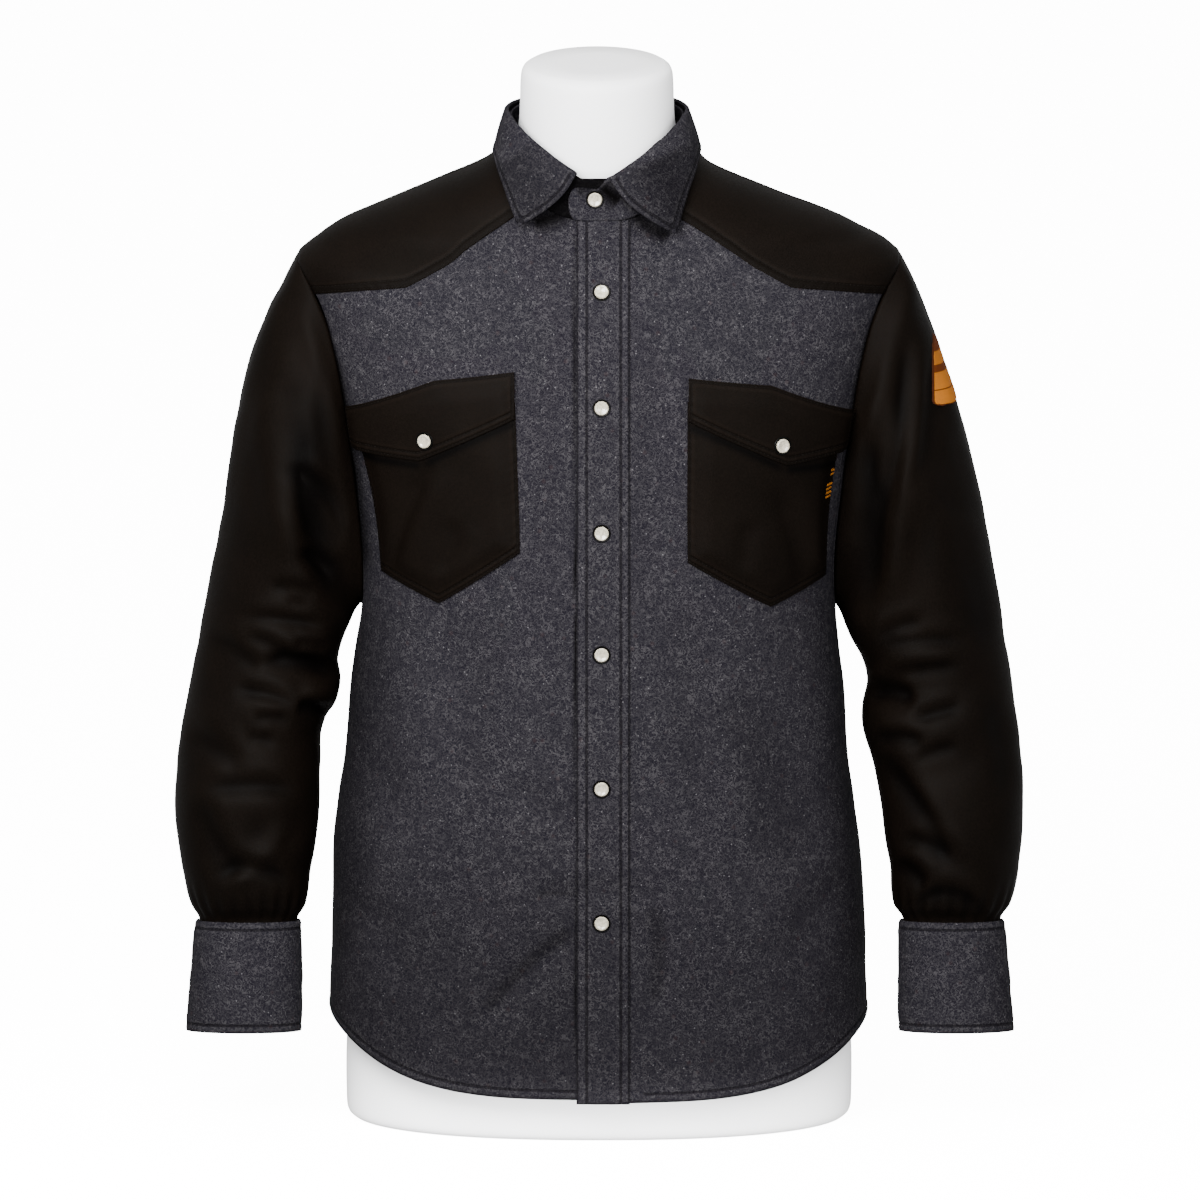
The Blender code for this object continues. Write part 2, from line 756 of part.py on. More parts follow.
def sleeve_point(word, turn, v, rise=0.0):
    """A sleeve point with its edges and folds, stood off by rise."""
    point = sleeve_bare(turn, v)
    round_way = sleeve_bare(turn + 1, v) - sleeve_bare(turn - 1, v)
    up_way = sleeve_bare(turn, min(v + 0.005, 1)) - sleeve_bare(turn, max(v - 0.005, 0))
    normal = round_way.cross(up_way).normalized()
    fade = smooth_step((1 - v) * 8) * smooth_step(v * 12)
    lift = fold_depth(SLEEVE_FOLDS[word], point.z, turn, 60) * fade
    shift = Vector((edge_shift(word, turn, v, point.z), 0, 0))
    return point + shift + normal * (rise + lift)


def build_sleeve(word, side, twill):
    def place(u, v):
        turn = 360 * (u + CREST_CROWDING * math.sin(math.tau * u))
        point = sleeve_point(word, turn, v)
        return (point.x * side, point.y, point.z)

    rows = ARM_ROWS + HEAD_ROWS
    bm = cloth_grid(SLEEVE_COLUMNS, rows, place, mirrored=side < 0, joined=True)
    return cloth_piece(f"sleeve_{word}", bm, twill, CLOTH, outward=False)


def cuff_point(word, turn, share, rise=0.0):
    """A point of a cuff on the wearer's left, share from 0 at its lower edge to 1 at its upper."""
    ring = SLEEVE_RINGS[0]
    angle = math.radians(turn)
    flare = CUFF_FLARE * max(1 - share, 0) ** 0.7
    half_width = ring.half_width + CUFF_EASE + flare + rise
    half_depth = ring.half_depth + CUFF_EASE + flare + rise
    height = CUFF_LOW + CUFF_HEIGHT * share
    ahead = half_depth * math.sin(angle)
    forward = ring.back - SLEEVE_SLANT * (ring.height - height)
    return Vector((
        ring.across + CUFF_OUT[word] + CUFF_SPREAD * (1 - share) - half_width * math.cos(angle),
        forward - ahead,
        height + ahead * SLEEVE_SLANT,
    ))


def build_cuff(word, side, denim):
    """The cuff band, lapped at the back of the wrist."""
    girth = 2 * math.pi * (SLEEVE_RINGS[0].half_width + SLEEVE_RINGS[0].half_depth) / 2
    sweep = 360 + 360 * CUFF_LAP / girth

    def place(u, v):
        turned = sweep * u
        step = (CUFF_CLOTH + LAYER) * smooth_step((turned - 325) / 34)
        point = cuff_point(word, CUFF_START + turned, v, step)
        return (point.x * side, point.y, point.z)

    bm = cloth_grid(30, 3, place, mirrored=side < 0)
    return cloth_piece(f"cuff_{word}", bm, denim, CUFF_CLOTH)


def stand_ring(turn):
    """The top edge of the collar stand, which climbs from the front to the sides and is level behind."""
    angle = math.radians(turn)
    depth = STAND_FRONT if math.cos(angle) > 0 else STAND_BACK
    from_front = 180 - abs(180 - abs(turn) % 360)
    climb = math.sin(math.radians(min(from_front, 90))) ** FOLD_CURVE
    height = FOLD_FRONT + FOLD_RISE * climb - ROLL
    return Vector((NECK_ACROSS + STAND_HALF_WIDTH * math.sin(angle), -depth * math.cos(angle), height))


def away_from_neck(point):
    return Vector((point.x - NECK_ACROSS, point.y, 0)).normalized()


def stand_point(turn, share, rise):
    """A point of the collar stand, share from 0 at the neckline to 1 at its top edge."""
    height = neck_height(turn)
    low = body_point(turn, height, 0)
    low.z += NECK_GAP + (2 * CLOTH + LAYER) * body_normal(turn, height).z
    high = stand_ring(turn)
    return low.lerp(high, share) + away_from_neck(high) * rise


def build_stand(denim):
    """The collar stand: its left end is a rounded tab over the right end."""
    first, last = -360 - STAND_END_TURN, STAND_END_TURN

    def place(u, v):
        turn = first + (last - first) * u
        from_end = (turn - first) / 12
        rounded = math.sqrt(max(1 - (1 - min(from_end, 1)) ** 2, 0.0))
        over = (COLLAR_CLOTH + LAYER) * (1 - smooth_step((turn - first - 38) / 22))
        return stand_point(turn, v * (0.3 + 0.7 * rounded), STAND_RISE + over)

    bm = cloth_grid(40, 3, place)
    return cloth_piece("collar_stand", bm, denim, COLLAR_CLOTH)


def leaf_edge(share, side):
    """The fall's outer edge over half of the collar, from a front point to the back."""
    across, ahead, height = [read(LEAF_EDGE, key, share, "share") for key in ("across", "ahead", "height")]
    if side > 0:
        height -= LEFT_POINT_DROP * (1 - smooth_step(share / 0.3))
    return Vector((NECK_ACROSS + side * across, -ahead, height))


def build_fall(denim):
    """The turned-down collar: a roll over the stand, then the leaf down to its points."""
    rows = len(FALL_ROLL) - 1 + LEAF_ROWS
    first, last = FALL_END_LEFT, 360 - FALL_END_RIGHT

    def place(u, v):
        turn = first + (last - first) * u
        top = stand_ring(turn)
        out = away_from_neck(top)
        row = round((1 - v) * rows)
        point = FALL_ROLL[min(row, len(FALL_ROLL) - 1)]
        roll = top + out * point.out + Vector((0, 0, point.up))
        if row < len(FALL_ROLL):
            return roll
        edge = leaf_edge(1 - abs(2 * u - 1), 1 if u < 0.5 else -1)
        part = (row - len(FALL_ROLL) + 1) / LEAF_ROWS
        swell = out * LEAF_SWELL * math.sin(math.pi * part)
        return roll.lerp(edge, part) + swell

    bm = cloth_grid(32, rows, place)
    return cloth_piece("collar_fall", bm, denim, COLLAR_CLOTH)


def build_snap(name, point, normal, pearl):
    """A snap cap, turned about its own axis and set on the cloth."""
    bm = bmesh.new()
    verts = [bm.verts.new((radius * MM, 0, rise * MM)) for radius, rise in SNAP_PROFILE]
    edges = [bm.edges.new(pair) for pair in zip(verts, verts[1:])]
    bmesh.ops.spin(
        bm, geom=verts + edges, cent=(0, 0, 0), axis=(0, 0, 1), angle=math.tau, steps=10, use_merge=True
    )
    bmesh.ops.remove_doubles(bm, verts=bm.verts, dist=1e-6)
    bmesh.ops.recalc_face_normals(bm, faces=bm.faces)
    made = finish_object(name, bm, pearl)
    turn = normal.to_track_quat("Z", "Y").to_matrix().to_4x4()
    made.matrix_world = Matrix.Translation((point + normal * SEAM) * MM) @ turn
    return made


def build_body_snap(name, turn, height, rise, pearl):
    build_snap(name, body_point(turn, height, rise), body_normal(turn, height), pearl)


def build_snaps(pearl):
    for number, height in enumerate(BAND_SNAPS, 1):
        turn = turn_of(BAND_SNAP_ACROSS, height)
        build_body_snap(f"snap_band_{number}", turn, height, CLOTH + LAYER + BAND_CLOTH, pearl)
    for word, shape in POCKETS.items():
        turn = shape.side * turn_of(shape.snap.across, shape.snap.height)
        build_body_snap(f"snap_flap_{word}", turn, shape.snap.height, FLAP_RISE + FLAP_CLOTH, pearl)
    share = (STAND_SNAP_HEIGHT - NECK_FRONT) / (FOLD_FRONT - ROLL - NECK_FRONT)
    rise = STAND_RISE + 2 * COLLAR_CLOTH + LAYER
    point = stand_point(STAND_SNAP_TURN, share, rise)
    up_way = stand_point(STAND_SNAP_TURN, 1, rise) - stand_point(STAND_SNAP_TURN, 0, rise)
    build_snap("snap_stand", point, Vector((1, 0, 0)).cross(up_way).normalized(), pearl)


def build_cuff_snaps(word, side, pearl):
    rise = 2 * CUFF_CLOTH + LAYER
    for number, share in enumerate(CUFF_SNAPS, 1):
        point = cuff_point(word, CUFF_SNAP_TURN, share, rise)
        normal = cuff_point(word, CUFF_SNAP_TURN, share, rise + 4) - point
        flipped = Vector((point.x * side, point.y, point.z))
        outward = Vector((normal.x * side, normal.y, normal.z)).normalized()
        build_snap(f"snap_cuff_{word}_{number}", flipped, outward, pearl)


def build_label(brown):
    """A small woven label on the wearer's left upper sleeve."""

    def v_at(turn, height):
        low, high = ARM_ROWS / (ARM_ROWS + HEAD_ROWS), 1.0
        for _ in range(30):
            middle = (low + high) / 2
            if sleeve_bare(turn, middle).z < height:
                low = middle
            else:
                high = middle
        return low

    def place(u, v):
        turn = LABEL_TURNS[0] + (LABEL_TURNS[1] - LABEL_TURNS[0]) * u
        height = LABEL_LOW + (LABEL_HIGH - LABEL_LOW) * v
        return sleeve_point("left", turn, v_at(turn, height), LAYER)

    return cloth_piece("sleeve_label", cloth_grid(4, 5, place), brown, 1.0)


def soft_min(first, second, blend):
    near = max(blend - abs(first - second), 0) / blend
    return min(first, second) - near * near * blend / 4


def form_extents(height):
    """The form's reach to the left, right, front and back at a height."""
    if height > FORM_TORSO_TOP:
        return [read(FORM_NECK, key, height) for key in ("half_width", "half_width", "front", "back")]
    torso = [read(FORM_TORSO, key, height) for key in ("half_width", "half_width", "front", "back")]
    if height < FORM_SHOULDER:
        return torso
    inside = [read(SECTIONS, key, height) for key in ("left", "right", "front", "back")]
    inside[2] -= FORM_EASE
    inside[3] -= FORM_EASE
    return [soft_min(own, limit, 8) for own, limit in zip(torso, inside)]


def form_heights():
    """The form's rings: its base, its torso, its shoulders close together, then its neck."""
    rings = [row.height for row in FORM_TORSO[:3]]
    base = rings[-1]
    for i in range(1, FORM_TORSO_ROWS + 1):
        rings.append(base + (FORM_CLOSE_ROWS_FROM - base) * i / FORM_TORSO_ROWS)
    for i in range(1, FORM_SHOULDER_ROWS + 1):
        rings.append(FORM_CLOSE_ROWS_FROM + (FORM_TORSO_TOP - FORM_CLOSE_ROWS_FROM) * i / FORM_SHOULDER_ROWS)
    for i in range(5):
        rings.append(FORM_TORSO_TOP + 5 + i * 11)
    return rings + [row.height for row in FORM_NECK[-3:]]


def build_form(white):
    """The dress form: a torso inside the shirt whose shoulders carry the yokes, and its neck."""
    rings = form_heights()

    def place(u, v):
        level = rings[round(v * (len(rings) - 1))]
        angle = math.radians(360 * u)
        side, ahead = math.sin(angle), math.cos(angle)
        left, right, front, back = form_extents(level)
        power = 2 / ROUND if level <= FORM_TORSO_TOP else 1.0
        x = (left if side >= 0 else right) * signed_power(side, power)
        y = -(front if ahead >= 0 else back) * signed_power(ahead, power)
        x += NECK_ACROSS * smooth_step((level - 740) / 40)
        tilt = FORM_NECK_TILT * y * smooth_step((level - 790) / 36)
        return (x, y, level + tilt)

    bm = cloth_grid(24, len(rings) - 1, place, joined=True)
    bmesh.ops.holes_fill(bm, edges=[edge for edge in bm.edges if edge.is_boundary], sides=0)
    bmesh.ops.recalc_face_normals(bm, faces=bm.faces)
    return finish_object("dress_form", bm, white)


def clear_scene():
    for old in list(bpy.data.objects):
        bpy.data.objects.remove(old, do_unlink=True)


def main():
    clear_scene()
    denim = material("Denim", (0.048, 0.046, 0.062), 0.85)
    twill = material("Twill", (0.008, 0.006, 0.005), 0.7)
    pearl = material("Pearl snap", (0.8, 0.79, 0.74), 0.2)
    brown = material("Label", (0.35, 0.12, 0.03), 0.6)
    white = material("Form", (0.85, 0.85, 0.85), 0.5)
    build_form(white)
    build_back(denim)
    build_back_yoke(twill)
    build_placket(denim)
    for word, side in (("right", -1), ("left", 1)):
        build_front(f"front_{word}", side, denim)
        build_front_yoke(f"front_yoke_{word}", side, twill)
        build_pocket(f"pocket_{word}", POCKETS[word], twill)
        build_flap(f"flap_{word}", POCKETS[word], twill)
        build_sleeve(word, side, twill)
        build_cuff(word, side, denim)
        build_cuff_snaps(word, side, pearl)
    build_stand(denim)
    build_fall(denim)
    build_snaps(pearl)
    build_label(brown)


main()
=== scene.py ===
"""Western snap shirt on a limbless dress form: cloth, stitching, snaps, form and stage.

Lengths in the tables are millimetres unless they say metres. Turns and angles are degrees. The front
faces -Y, the wearer's left is at +X, and the form stands on z = 0. Body cloth is read at a turn round
the body (0 front, 90 wearer's left, 180 back) and a height.
"""

import math
from collections import namedtuple

import bmesh
import bpy
import numpy as np
from mathutils import Matrix, Vector


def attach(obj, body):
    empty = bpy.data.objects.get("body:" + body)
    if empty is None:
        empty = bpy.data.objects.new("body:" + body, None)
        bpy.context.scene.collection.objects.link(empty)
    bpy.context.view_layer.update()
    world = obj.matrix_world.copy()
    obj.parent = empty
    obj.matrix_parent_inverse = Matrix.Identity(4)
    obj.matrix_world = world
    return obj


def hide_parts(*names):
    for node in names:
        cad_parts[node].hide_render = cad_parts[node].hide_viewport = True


bl_info = {
    "name": "Western snap shirt",
    "version": (1, 0, 0),
    "blender": (4, 5, 0),
    "location": "View3D > Sidebar > Shirt",
    "description": "Dresses the packed shirt and dress form with cloth, stitching and snaps",
    "category": "Object",
}

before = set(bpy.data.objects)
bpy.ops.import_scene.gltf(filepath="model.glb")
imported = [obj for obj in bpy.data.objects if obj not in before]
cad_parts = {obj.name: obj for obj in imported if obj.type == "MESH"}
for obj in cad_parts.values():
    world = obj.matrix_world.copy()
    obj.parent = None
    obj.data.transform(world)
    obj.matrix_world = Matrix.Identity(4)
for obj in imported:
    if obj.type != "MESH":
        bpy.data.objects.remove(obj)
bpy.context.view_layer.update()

MM = 0.001


def table_of(columns, *values):
    """The rows of a table, each value read by its column's name."""
    row = namedtuple("Row", columns)
    return tuple(row(*value) for value in values)


# Cloth layers, as on the solids.
CLOTH = 1.2
SEAM = 0.3
LAYER = 0.5
LAP = 5.0
COLLAR_CLOTH = 1.5
CUFF_CLOTH = 1.8
BAND_CLOTH = 1.6
POCKET_RISE = CLOTH + LAYER + 0.3
FLAP_CLOTH = 1.5
FLAP_RISE = POCKET_RISE + CLOTH + LAYER + 0.5

# Body surface: half-widths to the wearer's left and right, depths to the front and back.
ROUND = 2.3
SECTIONS = table_of(
    "height left right front back",
    (20, 210, 211, 151, 142),
    (88, 208, 209, 149, 140),
    (168, 206, 207, 147, 137),
    (216, 202, 206, 145, 134),
    (248, 198, 203, 143, 132),
    (280, 194, 198, 141, 130),
    (343, 190, 193, 138, 128),
    (375, 186, 188, 136, 128),
    (405, 184, 184, 134, 128),
    (450, 187, 187, 132, 128),
    (500, 194, 194, 128, 126),
    (550, 204, 204, 124, 122),
    (600, 215, 215, 117, 115),
    (640, 225, 225, 107, 106),
    (665, 232, 232, 98, 97),
    (680, 235, 235, 90, 89),
    (687, 229, 229, 86, 85),
    (694, 220, 220, 82, 81),
    (701, 206, 211, 78, 77),
    (709, 191, 198, 75, 73),
    (717, 172, 180, 72, 70),
    (725, 150, 161, 70, 67),
    (733, 130, 142, 68, 65),
    (741, 110, 123, 66, 63),
    (749, 92, 103, 64, 62),
    (757, 80, 87, 62.5, 61),
    (769, 74, 75, 61, 60),
    (790, 68, 69, 59, 58),
)

Hem = namedtuple("Hem", "centre side curve")
HEM_LEFT = Hem(37.5, 80.0, 3.8)
HEM_RIGHT = Hem(40.0, 84.0, 3.6)
HEM_BACK = 38.5
NECK_FRONT = 726.0
NECK_SIDE = 767.0
NECK_BACK = 769.0
NECK_BEND = 0.256
NECK_GAP = 1.0
YOKE_NECK_TURN = 19.5
SHOULDER_SEAM_TURN = 97.0
ARMPIT = 405.0
BAND_RIGHT_EDGE = -17.5
BAND_LEFT_EDGE = 24.0
BAND_NECK_RISE = 0.6
CENTRE_LAP = 11.0

# Armhole: share of the way round from the armpit up the front, over the crest and down the back.
ARMHOLE_FRONT = table_of(
    "share turn height",
    (0.000, 90.0, ARMPIT),
    (0.035, 84.0, 418),
    (0.089, 78.5, 450),
    (0.168, 74.8, 500),
    (0.246, 71.3, 550),
    (0.311, 69.2, 592),
    (0.368, 69.2, 628),
    (0.408, 70.8, 652),
    (0.437, 73.7, 667),
    (0.460, 77.7, 677),
    (0.479, 83.5, 682),
    (0.500, 90.0, 684),
)
YOKE_SHARE = 0.423
SHOULDER_SEAM_SHARE = 0.523
LAP_SHARE = 0.015
BACK_YOKE_POINT = 600.0

EDGE = "share across height"
FRONT_YOKE_EDGE = table_of(
    EDGE,
    (0.2, 85, 712),
    (0.4, 120, 689),
    (0.6, 150, 673),
    (0.8, 180, 669),
)

# Chest pocket and flap outlines, for the wearer's right and left.
PocketShape = namedtuple(
    "PocketShape", "side flap_top flap_low pocket_top pocket_low snap_across snap_height"
)
POCKETS = {
    "right": PocketShape(
        -1,
        table_of(EDGE, (0, 65.5, 613), (0.5, 128, 604), (1, 194, 575)),
        table_of(EDGE, (0, 65.5, 577), (0.5, 137, 541), (1, 189, 543)),
        table_of(EDGE, (0, 65.5, 590), (0.5, 128, 575), (1, 187, 556)),
        table_of(EDGE, (0, 61.5, 472), (0.5, 124, 428), (1, 168, 446)),
        137.5,
        557,
    ),
    "left": PocketShape(
        1,
        table_of(EDGE, (0, 69.5, 608), (0.5, 133, 600), (1, 195, 572)),
        table_of(EDGE, (0, 69.5, 575), (0.5, 143, 537), (1, 189, 541)),
        table_of(EDGE, (0, 69, 590), (0.5, 133, 572), (1, 187, 556)),
        table_of(EDGE, (0, 69, 464), (0.5, 133, 424), (1, 175, 440)),
        143,
        553,
    ),
}
POCKET_WAIST = -4.0
POCKET_PUFF = 3.4
FLAP_PUFF = 2.4

# Sleeve below the armpit: the centre, half-width and half-depth of each ring.
SLEEVE_RINGS = table_of(
    "height across back half_width half_depth",
    (151, 273.5, -32.0, 38.7, 32),
    (161, 273.5, -30.7, 38.7, 32),
    (170, 274.5, -29.5, 43, 41),
    (184, 275.5, -28, 47, 48),
    (216, 276, -22, 53, 56),
    (248, 276, -16, 55, 60),
    (280, 273, -10, 56, 62),
    (312, 268, -4, 56.5, 64),
    (343, 263, 0, 57, 65),
    (380, 256.5, 4, 57, 66),
)
SLEEVE_JOIN = 380.0
SLEEVE_SLANT = 0.13
SLEEVE_SPLIT = 13 / 23
RING_POWER = 1.24
ROWS_BELOW_ARMPIT = 0.45

# How far the outer and inner edge of each sleeve stand out from its rings.
SLEEVE_EDGE = "height outer inner"
SLEEVE_EDGES = {
    "right": table_of(
        SLEEVE_EDGE,
        (151, 0.4, -0.4),
        (161, 0.4, -0.4),
        (172, 0.5, 2.0),
        (205, -0.8, 1.0),
        (240, 0.0, 3.0),
        (275, 1.0, 0.0),
        (305, 1.6, -3.5),
        (325, 0.5, 2.5),
        (345, 0.0, 4.0),
        (362, -0.8, -1.2),
        (380, -1.2, 1.0),
        (398, -1.5, 4.0),
        (430, -1.6, 1.0),
        (465, -2.8, 0.0),
        (500, -1.0, 0.0),
        (560, 1.5, 0.0),
        (600, 4.0, 0.0),
        (655, 4.0, 0.0),
        (684, 0.0, 0.0),
    ),
    "left": table_of(
        SLEEVE_EDGE,
        (151, 2.0, -2.0),
        (161, 2.0, -2.0),
        (172, 3.5, 1.5),
        (205, 1.0, -2.0),
        (240, 0.5, 0.5),
        (275, 1.0, 2.5),
        (305, 2.3, 6.0),
        (325, 1.6, 3.5),
        (345, 2.5, -3.5),
        (362, 3.0, -2.5),
        (380, 3.5, 4.5),
        (398, 4.0, 6.5),
        (430, 4.5, 2.0),
        (465, 4.0, 0.0),
        (500, 3.5, 0.0),
        (560, 1.3, 0.0),
        (600, 0.3, 0.0),
        (655, 0.0, 0.0),
        (684, 0.0, 0.0),
    ),
}

CUFF_LOW = 73.0
CUFF_HEIGHT = 86.0
CUFF_EASE = 0.6
CUFF_FLARE = 4.2
CUFF_SPREAD = 3.5
CUFF_LAP = 34.0
CUFF_START = 250.0
CUFF_OVER = 325.0
CUFF_OVER_SOFT = 34.0
CUFF_SNAPS = (0.3, 0.72)
CUFF_SNAP_TURN = 268.0

# Collar.
STAND_HALF_WIDTH = 65.5
STAND_FRONT = 69.0
STAND_BACK = 66.0
STAND_RISE = 0.9
STAND_DIP = -0.1
FOLD_FRONT = 757.0
FOLD_RISE = 45.0
FOLD_CURVE = 1.1
ROLL = 5.0
STAND_END_TURN = 17.0
STAND_UNDER_END = 60.0
STAND_LEVEL = 759.0
TAB_NARROWED = 0.4
# The stand's outer end lies over its under end up to this turn; the under end behind the tab gets painted
# shade this dark.
TAB_OVER = 38.0
TAB_OVER_SOFT = 22.0
TAB_PAINTED_SHADE = 0.93
# How far down and up the stand's tab reaches, as shares of the stand's height.
STAND_TAB = table_of(
    "from_end low top",
    (0.0, 0.40, 0.50),
    (0.7, 0.24, 0.61),
    (2.0, 0.11, 0.69),
    (4.0, 0.03, 0.75),
    (6.5, 0.00, 0.80),
    (16.0, 0.00, 0.95),
    (25.0, 0.00, 1.10),
    (42.0, 0.00, 1.00),
)
FALL_END_RIGHT = 13.0
FALL_END_LEFT = 8.0
NECK_ACROSS = -1.6
FALL_ROLL = table_of(
    "along out up",
    (0.0, 1.9, 1.2),
    (1.2, 1.9, 2.4),
    (2.4, 2.6, 3.3),
    (3.7, 3.9, 3.6),
    (5.4, 5.2, 2.6),
)
ROLL_SHARE = 0.16
LEAF_SWELL = 1.6
LEAF_FRONT_SWELL = 3.0
LEAF_POINT_SHARE = 0.3
LEAF_BOW_SHARE = 0.14
LEFT_POINT_DROP = 6.0
LEAF_LIFT = 5.0
LEAF_BOW = 8.0
LEAF_EDGE = table_of(
    "share across ahead height",
    (0.00, 61.0, 76, 723),
    (0.14, 66.5, 70, 735),
    (0.28, 71.5, 61, 748),
    (0.40, 76.5, 43, 759),
    (0.50, 79.5, 22, 766),
    (0.60, 80.0, 0, 770),
    (0.75, 72.0, -38, 771),
    (0.88, 43.0, -63, 768),
    (1.00, 0.0, -72, 765),
)

# Snaps and label.
BAND_SNAPS = (674, 587, 488, 394, 287.5, 182)
BAND_SNAP_ACROSS = 3.0
STAND_SNAP_HEIGHT = 742.0
STAND_SNAP_TURN = -0.8
LABEL_LOW = 566.0
LABEL_HIGH = 618.0
LABEL_FRONT = 261.0
LABEL_END_TURN = 184.0
LABEL_TILT = 6.0
LABEL_CORNER = 4.0
LABEL_OFF = 0.9

# Dress form: half-width, front and back of the torso, then of the neck.
FORM_SECTION = "height half_width front back"
FORM_TORSO = table_of(
    FORM_SECTION,
    (0, 192, 114, 114),
    (3, 195.5, 117.5, 117.5),
    (10, 197, 119, 119),
    (60, 197, 118, 118),
    (140, 191, 114, 114),
    (230, 180, 106, 106),
    (320, 170, 102, 103),
    (400, 171, 106, 107),
    (480, 180, 110, 111),
    (560, 190, 108, 110),
    (620, 199, 98, 101),
    (665, 207, 86, 88),
    (700, 209, 78, 78),
    (800, 209, 78, 78),
)
FORM_EASE = 5.0
FORM_NECK = table_of(
    FORM_SECTION,
    (745, 98, 60, 59),
    (757, 80, 59, 58),
    (772, 66, 59, 58.5),
    (790, 61, 59.5, 59.5),
    (826, 59.5, 59, 59),
    (833, 57.5, 57, 57),
    (836, 53, 52.5, 52.5),
)
FORM_NECK_TILT = 0.05
FORM_SHOULDER = 640.0
FORM_TORSO_TOP = 757.0
# Heights of the form's rows: close ones at its rounded foot and crown, even runs between.
FORM_FOOT = (0, 0.7, 1.6, 3, 5, 7.5, 10)
FORM_RUNS = table_of("low high count", (20, 640, 50), (645, 757, 46), (760, 822, 20))
FORM_CROWN = (824, 826, 828, 830, 831.5, 833, 834.2, 835.2, 836)
FORM_CAP_INSETS = (22, 8)

# Creases, set down as they are seen from the front and a little above: a crease runs from one place
# to another, bends to its left by bend, and is a trough where its depth is negative.
SEEN_SLANT = 0.2126
CREASE = "across height to_across to_height bend width depth"
BODY_CREASES = table_of(
    CREASE,
    (-22, 139, -92, 66, -4, 12, -3.2),
    (-56, 166, 44, 166, 9, 9, -1.8),
    (26, 160, 50, 84, 4, 12, -2.4),
    (112, 340, 158, 165, 8, 24, -4.0),
    (-190, 395, -158, 225, -6, 20, -3.0),
    (-72, 258, -28, 228, 2, 13, -1.8),
    (70, 400, 86, 215, -4, 20, -2.2),
    (-95, 400, -112, 190, 5, 22, -2.2),
    (150, 120, 196, 190, 4, 16, -2.5),
    (-140, 95, -196, 170, -4, 16, -2.5),
    (40, 640, 34, 420, 3, 12, -1.0),
    (-42, 650, -38, 420, -3, 12, -1.0),
)
BACK_CREASES = table_of(
    CREASE,
    (-60, 560, -78, 240, 6, 26, -4.0),
    (62, 566, 84, 230, -6, 26, -4.0),
    (8, 540, -6, 160, 5, 22, -2.6),
    (-150, 520, -172, 400, 8, 14, -4.0),
    (150, 520, 172, 400, -8, 14, -4.0),
    (-120, 260, -60, 130, -6, 18, -2.6),
    (126, 250, 70, 120, 6, 18, -2.6),
)
POCKET_CREASES = table_of(
    CREASE,
    (-134, 512, -162, 432, -3, 7, -3.6),
    (-112, 470, -122, 430, 2, 8, -1.6),
    (139, 495, 160, 418, 3, 9, -3.6),
    (118, 470, 112, 430, -2, 8, -1.6),
)
SLEEVE_CREASES = {
    "right": table_of(
        CREASE,
        (-226, 646, -194, 540, -6, 10, 3.2),
        (-214, 600, -197, 470, -7, 9, -3.0),
        (-262, 580, -214, 390, -12, 13, 4.0),
        (-232, 548, -205, 405, -6, 13, -5.0),
        (-247, 511, -198, 461, 12, 7, -3.4),
        (-236, 444, -206, 428, 3, 6, -3.2),
        (-256, 417, -224, 413, 2, 5.5, -3.2),
        (-244, 405, -228, 404, 0, 5, -2.4),
        (-278, 393, -216, 386, 2, 5.5, -3.4),
        (-278, 379, -240, 364, 1, 6, -3.0),
        (-302, 378, -266, 351, 2, 7, -2.4),
        (-238, 373, -214, 369, 1, 5, -3.2),
        (-260, 358, -206, 352, 3, 7, -6.0),
        (-283, 336, -240, 324, 2, 6.5, -3.8),
        (-234, 323, -208, 316, 1, 7, -5.0),
        (-270, 312, -242, 312, 1, 6, -2.8),
        (-276, 296, -254, 295, 0, 6, -2.2),
        (-318, 300, -280, 268, 3, 9, -2.6),
        (-304, 256, -238, 256, 3, 8, -3.6),
        (-312, 246, -286, 196, -4, 8, -3.0),
        (-298, 188, -243, 183, 8, 7, -4.0),
        (-290, 176, -246, 226, -3, 8, 3.0),
    ),
    "left": table_of(
        CREASE,
        (238, 679, 195, 517, 11, 9, 3.0),
        (239, 623, 219, 470, 8, 8, -4.6),
        (241, 659, 221, 401, 15, 10, 4.0),
        (259, 600, 242, 485, 5, 8, -3.8),
        (206, 543, 212, 407, 4, 12, -5.0),
        (217, 378, 253, 389, 2, 6, -4.0),
        (220, 371, 284, 374, 2, 5.5, -3.2),
        (225, 346, 282, 354, 1, 6, -4.0),
        (210, 334, 246, 329, 3, 7, -6.0),
        (245, 311, 283, 322, 1, 6, -3.8),
        (214, 296, 254, 293, 3, 6.5, -4.4),
        (248, 280, 280, 290, 1, 6, -2.8),
        (219, 280, 275, 197, 4, 8, -4.0),
        (237, 218, 272, 200, 2, 7, -3.2),
        (232, 197, 254, 178, 2, 7, -3.8),
        (248, 166, 298, 160, 9, 7, -3.8),
        (306, 330, 318, 250, 4, 10, -2.2),
        (290, 440, 306, 360, 5, 12, -2.0),
    ),
}
